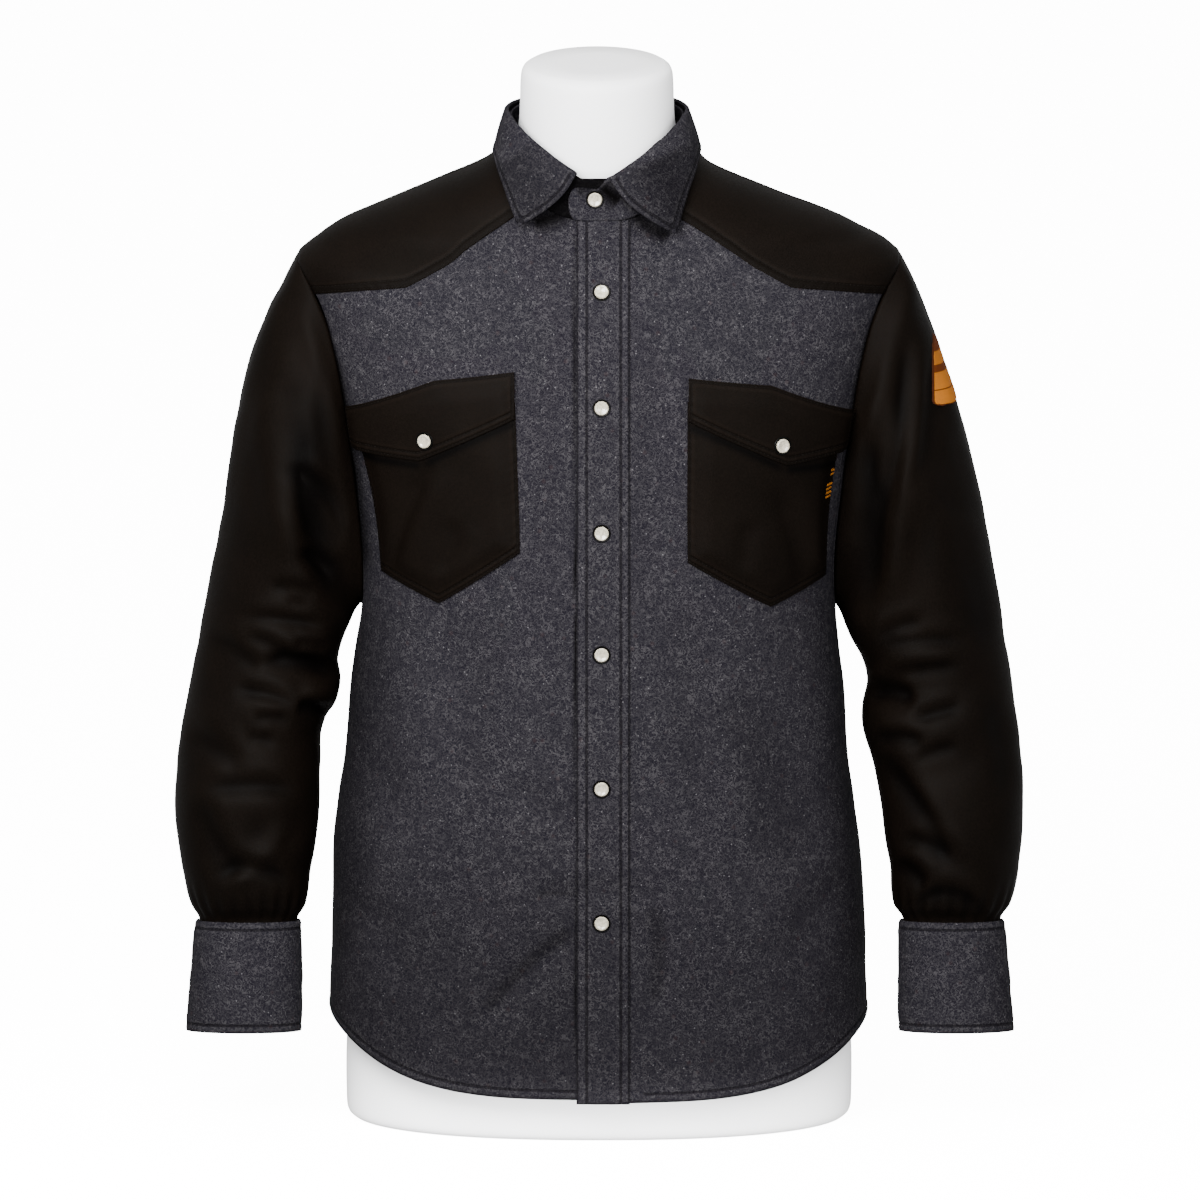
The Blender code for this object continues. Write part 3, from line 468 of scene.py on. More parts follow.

# Painted shade, set down as creases are; depth is how dark: shadows under the collar, tab, flaps and band
# edge, shade in creases and armpits, and light falling off over the leaves, lower front and sides.
SHADOWS = {
    "collar_stand": table_of(
        CREASE,
        (2, 738, 16, 725, 0, 8.5, 1.0),
        (-18, 734, 4, 742, 0, 6, 0.7),
        (16, 736, 42, 714, 0, 8, 0.9),
    ),
    # Painted shade on the collar leaves, deeper on the wearer's left leaf, which turns away from the key
    # light.
    "collar_fall": table_of(CREASE, (-74, 760, -40, 712, 0, 34, 0.39), (44, 762, 70, 705, 0, 34, 0.58)),
    # Painted shade over the lower front, where the light falls off toward the hem; the fronts carry the same.
    "placket": table_of(CREASE, (-60, 80, 60, 80, 0, 120, 0.18)),
    "front_right": table_of(
        CREASE,
        (-15, 727, -53, 708, 3, 9, 0.95),
        (-18.6, 706, -17.2, 30, 0, 1.3, 0.95),
        (-280, 80, 120, 80, 0, 120, 0.26),
        (-212, 605, -184, 430, 4, 7, 0.9),
        (-196, 400, -200, 110, 0, 24, 0.4),
        (-19, 146, -90, 78, -4, 8, 0.5),
        (-50, 172, -6, 172, 1, 3, 0.45),
        (-140, 60, -60, 36, -3, 14, 0.2),
    ),
    "front_left": table_of(
        CREASE,
        (22, 722, 56, 697, -3, 8, 0.9),
        (-120, 80, 280, 80, 0, 120, 0.15),
        (224, 625, 193, 405, -5, 7, 0.9),
        (203, 380, 207, 110, 0, 22, 0.35),
        (43, 165, 44, 84, 3, 9, 0.4),
        (98, 335, 132, 195, 6, 24, 0.12),
    ),
    "pocket_right": table_of(
        CREASE,
        (-192, 526, -137, 515, -1, 3.6, 0.9),
        (-137, 515, -64, 549, 1, 3.6, 0.9),
    ),
    "pocket_left": table_of(
        CREASE,
        (66, 547, 143, 512, 1, 3.6, 0.9),
        (143, 512, 198, 520, -1, 3.6, 0.9),
    ),
}
# Painted shade in crease troughs, by cloth, as a share of the trough's depth, and the most it reaches.
TROUGH_SHADE = {"twill": 0.16, "denim": 0.04, "label": 0.0}
TROUGH_MOST = 0.8

FOLD_SHARE = 0.55
FOLD_RADIUS = 60
FOLD = "height turn slope length width depth"
SLEEVE_FOLDS = {
    "right": table_of(
        FOLD,
        (520, 100, 84, 90, 18, 5.0),
        (520, 72, 84, 90, 16, -4.0),
        (390, 80, 10, 45, 13, 4.0),
        (365, 95, 5, 50, 12, -4.5),
        (335, 85, -8, 60, 13, 5.0),
        (305, 120, 12, 40, 12, -4.0),
        (262, 100, 0, 60, 16, 4.5),
        (222, 80, -20, 50, 14, -4.0),
        (350, 270, 0, 60, 16, 4.0),
        (300, 260, 8, 60, 14, -4.0),
    ),
    "left": table_of(
        FOLD,
        (560, 75, 80, 80, 16, 5.0),
        (520, 120, 84, 110, 18, 4.5),
        (520, 97, 84, 90, 14, -4.0),
        (385, 75, -12, 45, 13, 4.0),
        (350, 85, 6, 55, 13, -5.0),
        (322, 100, 8, 50, 12, 4.5),
        (285, 80, 14, 45, 13, -4.0),
        (235, 95, -48, 60, 15, 5.0),
        (350, 270, 0, 60, 16, 4.0),
        (300, 260, -8, 60, 14, -4.0),
    ),
}

# How far doubled cloth stands up at each kind of edge, and down the middle of the band and cuffs.
HEM_STEP = 0.45
BAND_HEM_STEP = 0.25
ARMHOLE_STEP = 0.35
YOKE_STEP = 0.3
BAND_SWELL = 0.35
CUFF_SWELL = 0.3
FLAP_SWELL = 0.6
POCKET_SWELL = 0.2

# Above this height the body cloth lies calm on the shoulders and keeps a quarter of its relief.
CALM_FROM = 600.0
CALM_SOFT = 80.0
CALM_SHARE = 0.25

# Slow unevenness of the cloth: the size of its waves and how deep they are.
BODY_WAVES = (46, 0.35)
SLEEVE_WAVES = (34, 0.5)
CUFF_WAVES = (17, 0.35)
COLLAR_WAVES = (20, 0.3)

# Gathers above each cuff: how many, how deep, how far up they are deepest and how far they reach.
GATHERS = 11
GATHER_DEPTH = 1.6
GATHER_HEIGHT = 22
GATHER_REACH = 16

# How sewing and free edges mark the cloth: width and depth of a stitch line's groove, width and
# depth of its pucker, width and depth of an edge's rounding, and the spacing of rows beside a line.
GROOVE = (1.1, 0.5)
PUCKER = (4.5, 0.14)
ROUNDING = (1.1, 0.45)
CLOSE_ROWS = (-0.8, 0.0, 0.8)
CLEAR_OF_ROWS = 1.3

# Sewing: lines of stitches, each at a distance from an edge of its piece and over a part of that edge.
EDGE_STITCH = 1.8
HEM_STITCH = 7.0
BAND_STITCH = 7.0
# The snap band's edges get a stitch line close in, whose dark seam paints the shadow line along those edges.
BAND_EDGE = 0.3
YOKE_STITCH = 6.5
ARMHOLE_STITCH = 8.0
COLLAR_STITCH = 4.5
CUFF_STITCH = 6.0
StitchLine = namedtuple("StitchLine", "edge distance first last")


def sewn(edges, distance, first=0, last=1):
    return tuple(StitchLine(edge, distance, first, last) for edge in edges.split())


YOKE_LINES = sewn("low", EDGE_STITCH) + sewn("low", YOKE_STITCH)
SEWN = {
    "front": sewn("low", HEM_STITCH, 0.07) + sewn("end", ARMHOLE_STITCH, 0.58, 0.94),
    "back": sewn("low", HEM_STITCH) + sewn("start end", ARMHOLE_STITCH, 0.62, 0.96),
    "placket": sewn("start", BAND_STITCH + 1) + sewn("end", BAND_STITCH) + sewn("start end", BAND_EDGE),
    "front_yoke": YOKE_LINES,
    "back_yoke": YOKE_LINES,
    "pocket": sewn("low start end", EDGE_STITCH) + sewn("low", YOKE_STITCH, 0.05, 0.95),
    "flap": sewn("low high start end", EDGE_STITCH) + sewn("low", YOKE_STITCH, 0.05, 0.95),
    "cuff": sewn("low high", CUFF_STITCH) + sewn("end", CUFF_STITCH, 0.08, 0.92),
    "collar_fall": sewn("low", COLLAR_STITCH) + sewn("start end", COLLAR_STITCH, 0, 0.9),
    "sleeve_label": sewn("low high start end", 0),
}
# Two solid marks of bar stitches beside the wearer's left pocket, by the share of its end edge.
BAR_STITCHES = table_of("first last count", (0.572, 0.688, 20), (0.715, 0.777, 11))
BAR_START = 0.6
BAR_PITCH = 0.45

# Each cloth piece: its rough width and length, the spacing of its rows, its wall and its cloth.
CUFF_GIRTH = math.pi * (SLEEVE_RINGS[0].half_width + SLEEVE_RINGS[0].half_depth)
Piece = namedtuple("Piece", "width length spacing wall cloth", defaults=(1.0, None, "denim"))
PIECES = {
    "front": Piece(262, 690),
    "back": Piece(525, 610, 1.15),
    "front_yoke": Piece(200, 112, 0.8, None, "twill"),
    "back_yoke": Piece(500, 170, 0.9, None, "twill"),
    "placket": Piece(41.5, 688, 0.8, BAND_CLOTH),
    "pocket": Piece(128, 155, 0.7, None, "twill"),
    "flap": Piece(132, 52, 0.7, FLAP_CLOTH, "twill"),
    "sleeve": Piece(376, 545, 1.0, None, "twill"),
    "cuff": Piece(CUFF_GIRTH + CUFF_LAP, CUFF_HEIGHT, 0.8, CUFF_CLOTH),
    "collar_stand": Piece(455, 30, 0.6, COLLAR_CLOTH),
    "collar_fall": Piece(455, 52, 0.6, COLLAR_CLOTH),
    "sleeve_label": Piece(46, 54, 0.6, None, "label"),
}

# Profiles of a snap, spun round its own axis.
PROFILE = "radius rise"
SNAP_RING = table_of(
    PROFILE,
    *((0, -0.2), (6.9, -0.2), (7.2, 0.1), (7.2, 0.5), (6.9, 0.8), (6.1, 0.85), (5.75, 0.6), (0, 0.5)),
)
SNAP_CAP = table_of(
    PROFILE,
    *((0, 0.4), (5.45, 0.4), (5.6, 1.2), (5.4, 1.9), (4.8, 2.35), (4.2, 2.3), (3.5, 1.9), (2, 1.5), (0, 1.4)),
)
SNAP_STEPS = 28

# Stage: lamps in metres and watts, and a level camera raised by its tilt.
LAMPS = table_of(
    "name place target size power spread",
    ("Key", (-0.55, -1.5, 1.35), (0, 0, 0.58), (1.0, 1.0), 118, 180),
    ("Fill", (1.1, -2.3, 1.4), (0, 0, 0.58), (1.2, 1.2), 75, 180),
    ("Top", (0, 0.3, 3.2), (0, 0, 0.5), (2.4, 2.4), 60, 180),
    ("Low", (0, -1.1, 0.02), (0, -0.12, 0.012), (0.9, 0.02), 0.5, 6),
)
SKY_STRENGTH = 0.95
FLOOR_HALF = 14.0
FLOOR_DROP = 0.0004
CAMERA_TILT = 12
CAMERA_CENTRE = (0.0008, 0, 0.4074)
CAMERA_VIEW = 0.9375
CAMERA_AWAY = 3.0


def size_setting(name, told, size, least, most):
    return bpy.props.FloatProperty(
        name=name, description=told, default=size * MM, min=least * MM, max=most * MM, unit="LENGTH"
    )


def colour_setting(name, told, *values):
    return bpy.props.FloatVectorProperty(name=name, description=told, default=values, subtype="COLOR")


class ShirtSettings(bpy.types.PropertyGroup):
    """Sizes and colours of the dressed shirt."""

    cloth: size_setting("Cloth", "Thickness of the cloth", 1.0, 0.5, 3)
    cell: size_setting("Cell", "Spacing of the cloth's rows", 3.1, 2, 12)
    crease: bpy.props.FloatProperty(
        name="Creases", description="Strength of the creases", default=1.0, min=0.0, max=2.0, subtype="FACTOR"
    )
    stitch_length: size_setting("Stitch", "Length of one stitch", 2.4, 1, 6)
    stitch_gap: size_setting("Stitch gap", "Gap between stitches", 0.9, 0.2, 3)
    thread: size_setting("Thread", "Thickness of the thread", 0.5, 0.2, 1.5)
    denim_dark: colour_setting("Denim ground", "Ground colour of the denim", 0.0040, 0.0036, 0.0058)
    denim_light: colour_setting("Denim fleck", "Colour of the pale yarns", 0.0285, 0.0268, 0.0292)
    nep: colour_setting("Nep", "Colour of the pale neps", 0.13, 0.125, 0.13)
    speck: colour_setting("Speck", "Colour of the denim's warm specks", 0.022, 0.012, 0.0115)
    twill_dark: colour_setting("Twill ground", "Ground colour of the twill", 0.0010, 0.00065, 0.0004)
    twill_light: colour_setting("Twill rib", "Colour of the twill's ribs", 0.0034, 0.0022, 0.0015)
    denim_thread: colour_setting("Denim thread", "Thread on the denim", 0.005, 0.005, 0.0065)
    twill_thread: colour_setting("Twill thread", "Thread on the twill", 0.0022, 0.0015, 0.001)
    pearl: colour_setting("Pearl", "Colour of the snap caps", 0.4, 0.365, 0.285)
    metal: colour_setting("Ring", "Colour of the snap rings", 0.006, 0.006, 0.006)
    label: colour_setting("Label", "Field colour of the label", 0.26, 0.085, 0.008)
    label_bar: colour_setting("Label bars", "Colour of the bars across the label", 0.06, 0.014, 0.0025)
    label_border: colour_setting("Label border", "Border colour of the label", 0.03, 0.008, 0.0025)
    form: colour_setting("Form", "Colour of the dress form", 0.86, 0.86, 0.87)
    floor: colour_setting("Floor", "Colour of the floor", 0.93, 0.93, 0.935)


class Curve:
    """A smooth value read from one column of a table."""

    def __init__(self, rows, column, key="height"):
        self.places = np.array([getattr(row, key) for row in rows], float)
        self.values = np.array([getattr(row, column) for row in rows], float)
        steps = np.arange(len(rows))
        before, after = np.maximum(steps - 1, 0), np.minimum(steps + 1, len(rows) - 1)
        self.slopes = (self.values[after] - self.values[before]) / (self.places[after] - self.places[before])

    def __call__(self, at):
        at = np.asarray(at, float)
        low = np.clip(np.searchsorted(self.places, at) - 1, 0, len(self.places) - 2)
        span = self.places[low + 1] - self.places[low]
        share = np.clip((at - self.places[low]) / span, 0, 1)
        square, cube = share**2, share**3
        return (
            (2 * cube - 3 * square + 1) * self.values[low]
            + (cube - 2 * square + share) * self.slopes[low] * span
            + (3 * square - 2 * cube) * self.values[low + 1]
            + (cube - square) * self.slopes[low + 1] * span
        )


def curves(rows, columns, key="height"):
    return {column: Curve(rows, column, key) for column in columns}


BODY = curves(SECTIONS, ("left", "right", "front", "back"))
ARMHOLE = curves(ARMHOLE_FRONT, ("turn", "height"), "share")
SLEEVE = curves(SLEEVE_RINGS, ("across", "back", "half_width", "half_depth"))
SLEEVE_SIDES = {word: curves(rows, ("outer", "inner")) for word, rows in SLEEVE_EDGES.items()}
LEAF = curves(LEAF_EDGE, ("across", "ahead", "height"), "share")
TORSO = curves(FORM_TORSO, ("half_width", "front", "back"))
FORM_NECK_CURVES = curves(FORM_NECK, ("half_width", "front", "back"))


def smooth_step(value):
    value = np.clip(value, 0.0, 1.0)
    return value * value * (3 - 2 * value)


def signed_power(value, power):
    return np.copysign(np.abs(value) ** power, value)


def stacked(x, y, z):
    return np.stack(np.broadcast_arrays(x, y, z), axis=-1)


def unit(vectors):
    return vectors / np.maximum(np.linalg.norm(vectors, axis=-1, keepdims=True), 1e-9)


# Surfaces


def bare_point(turn, height):
    """A point of the body surface itself."""
    angle = np.radians(turn)
    side, ahead = np.sin(angle), np.cos(angle)
    half = np.where(side >= 0, BODY["left"](height), BODY["right"](height))
    depth = np.where(ahead >= 0, BODY["front"](height), BODY["back"](height))
    return stacked(half * signed_power(side, 2 / ROUND), -depth * signed_power(ahead, 2 / ROUND), height)


def body_normal(turn, height):
    along = bare_point(turn + 0.6, height) - bare_point(turn - 0.6, height)
    up = bare_point(turn, height + 1.5) - bare_point(turn, height - 1.5)
    return unit(np.cross(along, up))


def body_point(turn, height, rise=0.0):
    """A point that stands off the body surface by rise."""
    return bare_point(turn, height) + body_normal(turn, height) * np.expand_dims(rise, -1)


def turn_of(across, height):
    """The turn at which the front of the body surface lies this far across."""
    half = np.where(np.asarray(across) >= 0, BODY["left"](height), BODY["right"](height))
    return np.degrees(np.copysign(np.arcsin(np.minimum(np.abs(across) / half, 1) ** (ROUND / 2)), across))


def hem_height(turn):
    """The hem, which rises to each side seam."""
    side, ahead = np.sin(np.radians(turn)), np.cos(np.radians(turn))
    centre, top, curve = (np.where(side >= 0, left, right) for left, right in zip(HEM_LEFT, HEM_RIGHT))
    centre = np.where(ahead > 0, centre, HEM_BACK)
    return centre + (top - centre) * np.abs(side) ** curve


def neck_height(turn):
    side = np.sin(np.radians(turn)) ** 2
    centre = np.where(np.cos(np.radians(turn)) > 0, NECK_FRONT, NECK_BACK)
    return centre + (NECK_SIDE - centre) * side * (1 + NECK_BEND) / (side + NECK_BEND)


def armhole(share):
    """Turn and height at a share of the way round the wearer's left armhole."""
    folded = np.minimum(share, 1 - np.asarray(share))
    turn = ARMHOLE["turn"](folded)
    return [np.where(np.asarray(share) <= 0.5, turn, 180 - turn), ARMHOLE["height"](folded)]


def blend_edges(bottom, top, start, end):
    """The surface (turn, height) between four edges, each a function of 0 to 1."""

    def place(u, v):
        low, high, first, last = bottom(u), top(u), start(v), end(v)
        corners = [bottom(0.0), bottom(1.0), top(0.0), top(1.0)]
        pair = []
        for i in (0, 1):
            edges = (1 - v) * low[i] + v * high[i] + (1 - u) * first[i] + u * last[i]
            edges -= (1 - u) * (1 - v) * corners[0][i] + u * (1 - v) * corners[1][i]
            edges -= (1 - u) * v * corners[2][i] + u * v * corners[3][i]
            pair.append(edges)
        return pair

    return place


def straight(first, second):
    return lambda share: [a + (b - a) * share for a, b in zip(first, second)]


def edge_of(rows):
    """The edge through a table's points, which are given across and by height."""
    shares = [row.share for row in rows]

    def at(share):
        height = np.interp(share, shares, [row.height for row in rows])
        return [turn_of(np.interp(share, shares, [row.across for row in rows]), height), height]

    return at


def either(test, first, second):
    return [np.where(test, a, b) for a, b in zip(first, second)]


def on_body(place, side, rise):
    """Turns a surface of (turn, height) for the wearer's left into points of either side."""

    def at(u, v):
        turn, height = place(u, v)
        return body_point(side * turn, height, rise)

    return at


def front_yoke_low(share):
    first, last = FRONT_YOKE_EDGE[0], FRONT_YOKE_EDGE[-1]
    share = np.asarray(share, float)
    middle = edge_of(FRONT_YOKE_EDGE)(share)
    neck = [YOKE_NECK_TURN, neck_height(YOKE_NECK_TURN)]
    inner = straight(neck, edge_of(FRONT_YOKE_EDGE)(first.share))(share / first.share)
    corner = [turn_of(last.across, last.height), last.height]
    outer = straight(corner, armhole(YOKE_SHARE))((share - last.share) / (1 - last.share))
    return either(share < first.share, inner, either(share <= last.share, middle, outer))


def front_surface(side):
    """A body front from the centre lap to the side seam, up to the neckline, yoke and armhole."""
    centre = CENTRE_LAP + SEAM if side > 0 else -CENTRE_LAP
    hem = HEM_LEFT if side > 0 else HEM_RIGHT
    start_low = [turn_of(centre, hem.centre), hem.centre]
    start_high = [turn_of(centre, NECK_FRONT), neck_height(turn_of(centre, NECK_FRONT))]
    side_share, neck_share = 11 / 20, 3 / 13
    top_share = YOKE_SHARE + LAP_SHARE

    def bottom(u):
        turn = start_low[0] + (90 - start_low[0]) * u
        return [turn, hem_height(np.copysign(turn, side))]

    def end(v):
        v = np.asarray(v, float)
        seam = [90.0 + 0 * v, hem.side + (ARMPIT - hem.side) * v / side_share]
        up = np.clip((v - side_share) / (1 - side_share), 0, 1)
        return either(v <= side_share, seam, armhole(top_share * up))

    def top(u):
        u = np.asarray(u, float)
        turn = start_high[0] + (front_yoke_low(0.0)[0] - start_high[0]) * u / neck_share
        turn_high, height = front_yoke_low(np.clip((u - neck_share) / (1 - neck_share), 0, 1))
        lap = LAP * (1 - smooth_step((u - 0.8) / 0.2)) * smooth_step((u - neck_share) * 12)
        upper = either(u >= 1, armhole(top_share + 0 * u), [turn_high, height + lap])
        return either(u < neck_share, [turn, neck_height(turn)], upper)

    return on_body(blend_edges(bottom, top, straight(start_low, start_high), end), side, CLOTH)


def front_yoke_surface(side):
    neck_low = front_yoke_low(0.0)

    def start(v):
        turn = neck_low[0] + (SHOULDER_SEAM_TURN - neck_low[0]) * v
        return [turn, neck_height(turn)]

    def end(v):
        return armhole(YOKE_SHARE + (SHOULDER_SEAM_SHARE - YOKE_SHARE) * np.asarray(v, float))

    top = straight(start(1.0), end(1.0))
    return on_body(blend_edges(front_yoke_low, top, start, end), side, 2 * CLOTH + LAYER)


def back_yoke_low(share):
    end = armhole(1 - YOKE_SHARE)
    part = smooth_step(share * 0.85 + 0.15) - smooth_step(0.15)
    part = part / (smooth_step(1.0) - smooth_step(0.15))
    return [180 + (end[0] - 180) * share, BACK_YOKE_POINT + (end[1] - BACK_YOKE_POINT) * part]


def mirrored_back(half):
    """A whole edge across the back, from the wearer's left to the right, out of its left half."""

    def at(u):
        turn, height = half(np.abs(2 * np.asarray(u, float) - 1))
        return [np.where(np.asarray(u) <= 0.5, turn, 360 - turn), height]

    return at


def other_side(edge):
    def at(v):
        turn, height = edge(v)
        return [360 - turn, height]

    return at


def back_yoke_surface():
    seam_turn, neck_share = SHOULDER_SEAM_TURN + 0.1, 0.4
    seam_share = SHOULDER_SEAM_SHARE + SEAM / 1000

    def half_top(share):
        turn = 180 + (seam_turn - 180) * share / neck_share
        part = (share - neck_share) / (1 - neck_share)
        seam = straight([seam_turn, neck_height(seam_turn)], armhole(seam_share))(part)
        return either(share <= neck_share, [turn, neck_height(turn)], seam)

    def left(v):
        return armhole(1 - YOKE_SHARE + (seam_share - 1 + YOKE_SHARE) * np.asarray(v, float))

    edges = (mirrored_back(back_yoke_low), mirrored_back(half_top), left, other_side(left))
    return on_body(blend_edges(*edges), 1, 2 * CLOTH + LAYER)


def back_surface():
    side_share = 9 / 15
    top_share = 1 - YOKE_SHARE - LAP_SHARE

    def bottom(u):
        turn = 90 + 180 * np.asarray(u, float)
        return [turn, hem_height(turn)]

    def half_top(share):
        turn, height = back_yoke_low(share)
        return either(share < 1, [turn, height + LAP], armhole(top_share + 0 * share))

    def side_edge(hem):
        def at(v):
            v = np.asarray(v, float)
            seam = [90.0 + 0 * v, hem.side + (ARMPIT - hem.side) * v / side_share]
            up = np.clip((v - side_share) / (1 - side_share), 0, 1)
            return either(v <= side_share, seam, armhole(1 - (1 - top_share) * up))

        return at

    sides = (side_edge(HEM_LEFT), other_side(side_edge(HEM_RIGHT)))
    return on_body(blend_edges(bottom, mirrored_back(half_top), *sides), 1, CLOTH)


def placket_surface():
    low, high = HEM_LEFT.centre - 0.6, NECK_FRONT - 0.6

    def place(u, v):
        height = low + (high - low) * v
        across = BAND_RIGHT_EDGE + (BAND_LEFT_EDGE - BAND_RIGHT_EDGE) * u
        rise = CLOTH + LAYER + BAND_CLOTH + BAND_NECK_RISE * smooth_step((height - 690) / 20)
        return body_point(turn_of(across, height), height, rise)

    return place


def patch_surface(low_rows, top_rows, side, waist, rise):
    """A pocket or flap, its outer side drawn in by waist at mid height."""
    bottom, top = edge_of(low_rows), edge_of(top_rows)

    def place(u, v):
        low, high = bottom(u), top(u)
        turn = low[0] + (high[0] - low[0]) * v + waist / 3 * u * np.sin(math.pi * v)
        return [turn, low[1] + (high[1] - low[1]) * v]

    return on_body(place, side, rise)


def fold_depth(folds, height, turn, radius):
    """How far the folds raise the sleeve at a place."""
    total = 0.0
    for fold in folds:
        round_way = np.radians((turn - fold.turn + 180) % 360 - 180) * radius
        up_way = height - fold.height
        slope = math.radians(fold.slope)
        along = round_way * math.cos(slope) + up_way * math.sin(slope)
        across = up_way * math.cos(slope) - round_way * math.sin(slope)
        total = total + fold.depth * np.exp(-((across / fold.width) ** 2) - (along / fold.length) ** 4)
    return total


def sleeve_ring(turn, height):
    angle = np.radians(turn)
    tilt = SLEEVE_SLANT * smooth_step((SLEEVE_JOIN - height) / 120)
    ahead = SLEEVE["half_depth"](height) * np.sin(angle)
    across = SLEEVE["across"](height) - SLEEVE["half_width"](height) * np.cos(angle)
    return stacked(across, SLEEVE["back"](height) - ahead, height + ahead * tilt)


def sleeve_bare(turn, v):
    """A point of the wearer's left sleeve, v from 0 at the cuff to 1 at the armhole."""
    turn, v = np.broadcast_arrays(np.asarray(turn, float), np.asarray(v, float))
    low = SLEEVE_RINGS[0].height
    up = (np.minimum(v, SLEEVE_SPLIT) / SLEEVE_SPLIT) ** RING_POWER
    arm = sleeve_ring(turn, low + (SLEEVE_JOIN - low) * up)
    angle = np.radians(turn)
    edge_turn, edge_height = armhole(turn / 360)
    on_yoke = smooth_step((np.minimum(turn, 360 - turn) / 360 - YOKE_SHARE + 0.05) / 0.05)
    first = body_point(edge_turn, edge_height, CLOTH * 0.7 + (CLOTH + LAYER) * on_yoke)
    leave = unit(stacked(0.62 + 0.13 * np.cos(angle), -0.6 * np.sin(angle), 0.6 * np.cos(angle) - 0.35))
    first = first - leave * 0.5
    last = sleeve_ring(turn, SLEEVE_JOIN)
    arrive = unit(sleeve_ring(turn, SLEEVE_JOIN - 6) - last)
    reach = np.linalg.norm(last - first, axis=-1, keepdims=True)
    share = np.clip(1 - (v - SLEEVE_SPLIT) / (1 - SLEEVE_SPLIT), 0, 1)[..., None]
    square, cube = share**2, share**3
    head = (
        first * (2 * cube - 3 * square + 1)
        + leave * reach * (cube - 2 * square + share)
        + last * (3 * square - 2 * cube)
        + arrive * reach * (cube - square)
    )
    return np.where((v <= SLEEVE_SPLIT)[..., None], arm, head)


def edge_shift(word, turn, v, height):
    """How far a sleeve point moves away from the body to meet the sleeve's edges."""
    outward = (1 - np.cos(np.radians(turn))) / 2
    edges = SLEEVE_SIDES[word]
    shift = edges["outer"](height) * outward - edges["inner"](height) * (1 - outward)
    return shift * smooth_step((1 - v) * 8)


def cuff_point(word, turn, share, rise=0.0):
    """A point of a cuff on the wearer's left, share from 0 at its lower edge to 1 at its upper."""
    ring = SLEEVE_RINGS[0]
    angle = np.radians(turn)
    flare = CUFF_FLARE * np.maximum(1 - share, 0) ** 0.7
    half_width = ring.half_width + CUFF_EASE + flare + rise
    half_depth = ring.half_depth + CUFF_EASE + flare + rise
    height = CUFF_LOW + CUFF_HEIGHT * share
    ahead = half_depth * np.sin(angle)
    out = SLEEVE_EDGES[word][0].outer
    across = ring.across + out + CUFF_SPREAD * (1 - share) - half_width * np.cos(angle)
    back = ring.back - SLEEVE_SLANT * (ring.height - height)
    return stacked(across, back - ahead, height + ahead * SLEEVE_SLANT)


def stand_ring(turn):
    """The top edge of the collar stand, which climbs from the front to the sides and is level behind."""
    angle = np.radians(turn)
    depth = np.where(np.cos(angle) > 0, STAND_FRONT, STAND_BACK)
    from_front = 180 - np.abs(180 - np.abs(turn) % 360)
    climb = np.sin(np.radians(np.minimum(from_front, 90))) ** FOLD_CURVE
    height = FOLD_FRONT + FOLD_RISE * climb - ROLL
    return stacked(NECK_ACROSS + STAND_HALF_WIDTH * np.sin(angle), -depth * np.cos(angle), height)


def away_from_neck(point):
    return unit(point * (1, 1, 0) - (NECK_ACROSS, 0, 0))


def stand_point(turn, share, rise):
    """A point of the collar stand, share from 0 at the neckline to 1 at its top edge."""
    low_turn = np.where(turn < -360, -360 + (turn + 360) * TAB_NARROWED, turn)
    height = neck_height(low_turn)
    low = body_point(low_turn, height, 0 * height)
    lift = NECK_GAP + (2 * CLOTH + LAYER) * body_normal(low_turn, height)[..., 2]
    low = low + stacked(0 * lift, 0 * lift, lift)
    high = stand_ring(turn)
    return low + (high - low) * np.expand_dims(share, -1) + away_from_neck(high) * np.expand_dims(rise, -1)


def stand_surface(u, v):
    first, last = -360 - STAND_END_TURN, STAND_END_TURN
    turn = first + (last - first) * u
    v = STAND_DIP + (1 - STAND_DIP) * v
    places = [row.from_end for row in STAND_TAB]
    low = np.interp(turn - first, places, [row.low for row in STAND_TAB])
    top = np.interp(turn - first, places, [row.top for row in STAND_TAB])
    neck = neck_height(turn)
    level = (STAND_LEVEL - neck) / (stand_ring(turn)[..., 2] - neck)
    top = np.where(last - turn < STAND_UNDER_END, np.maximum(level, 1), top)
    over = (COLLAR_CLOTH + LAYER) * (1 - smooth_step((turn - first - TAB_OVER) / TAB_OVER_SOFT))
    share = STAND_DIP + low + (v - STAND_DIP) * (top - low)
    return stand_point(turn, share, STAND_RISE + over + COLLAR_CLOTH)


def stand_painted_shade(laid):
    """Painted shade on the stand's under end, which lies behind its own tab."""
    share = np.linspace(0, 1, laid.low.shape[0])[:, None] + 0 * laid.low
    whole = 360 + 2 * STAND_END_TURN
    return TAB_PAINTED_SHADE * (1 - smooth_step((whole * (1 - share) - STAND_UNDER_END - 2) / 20))


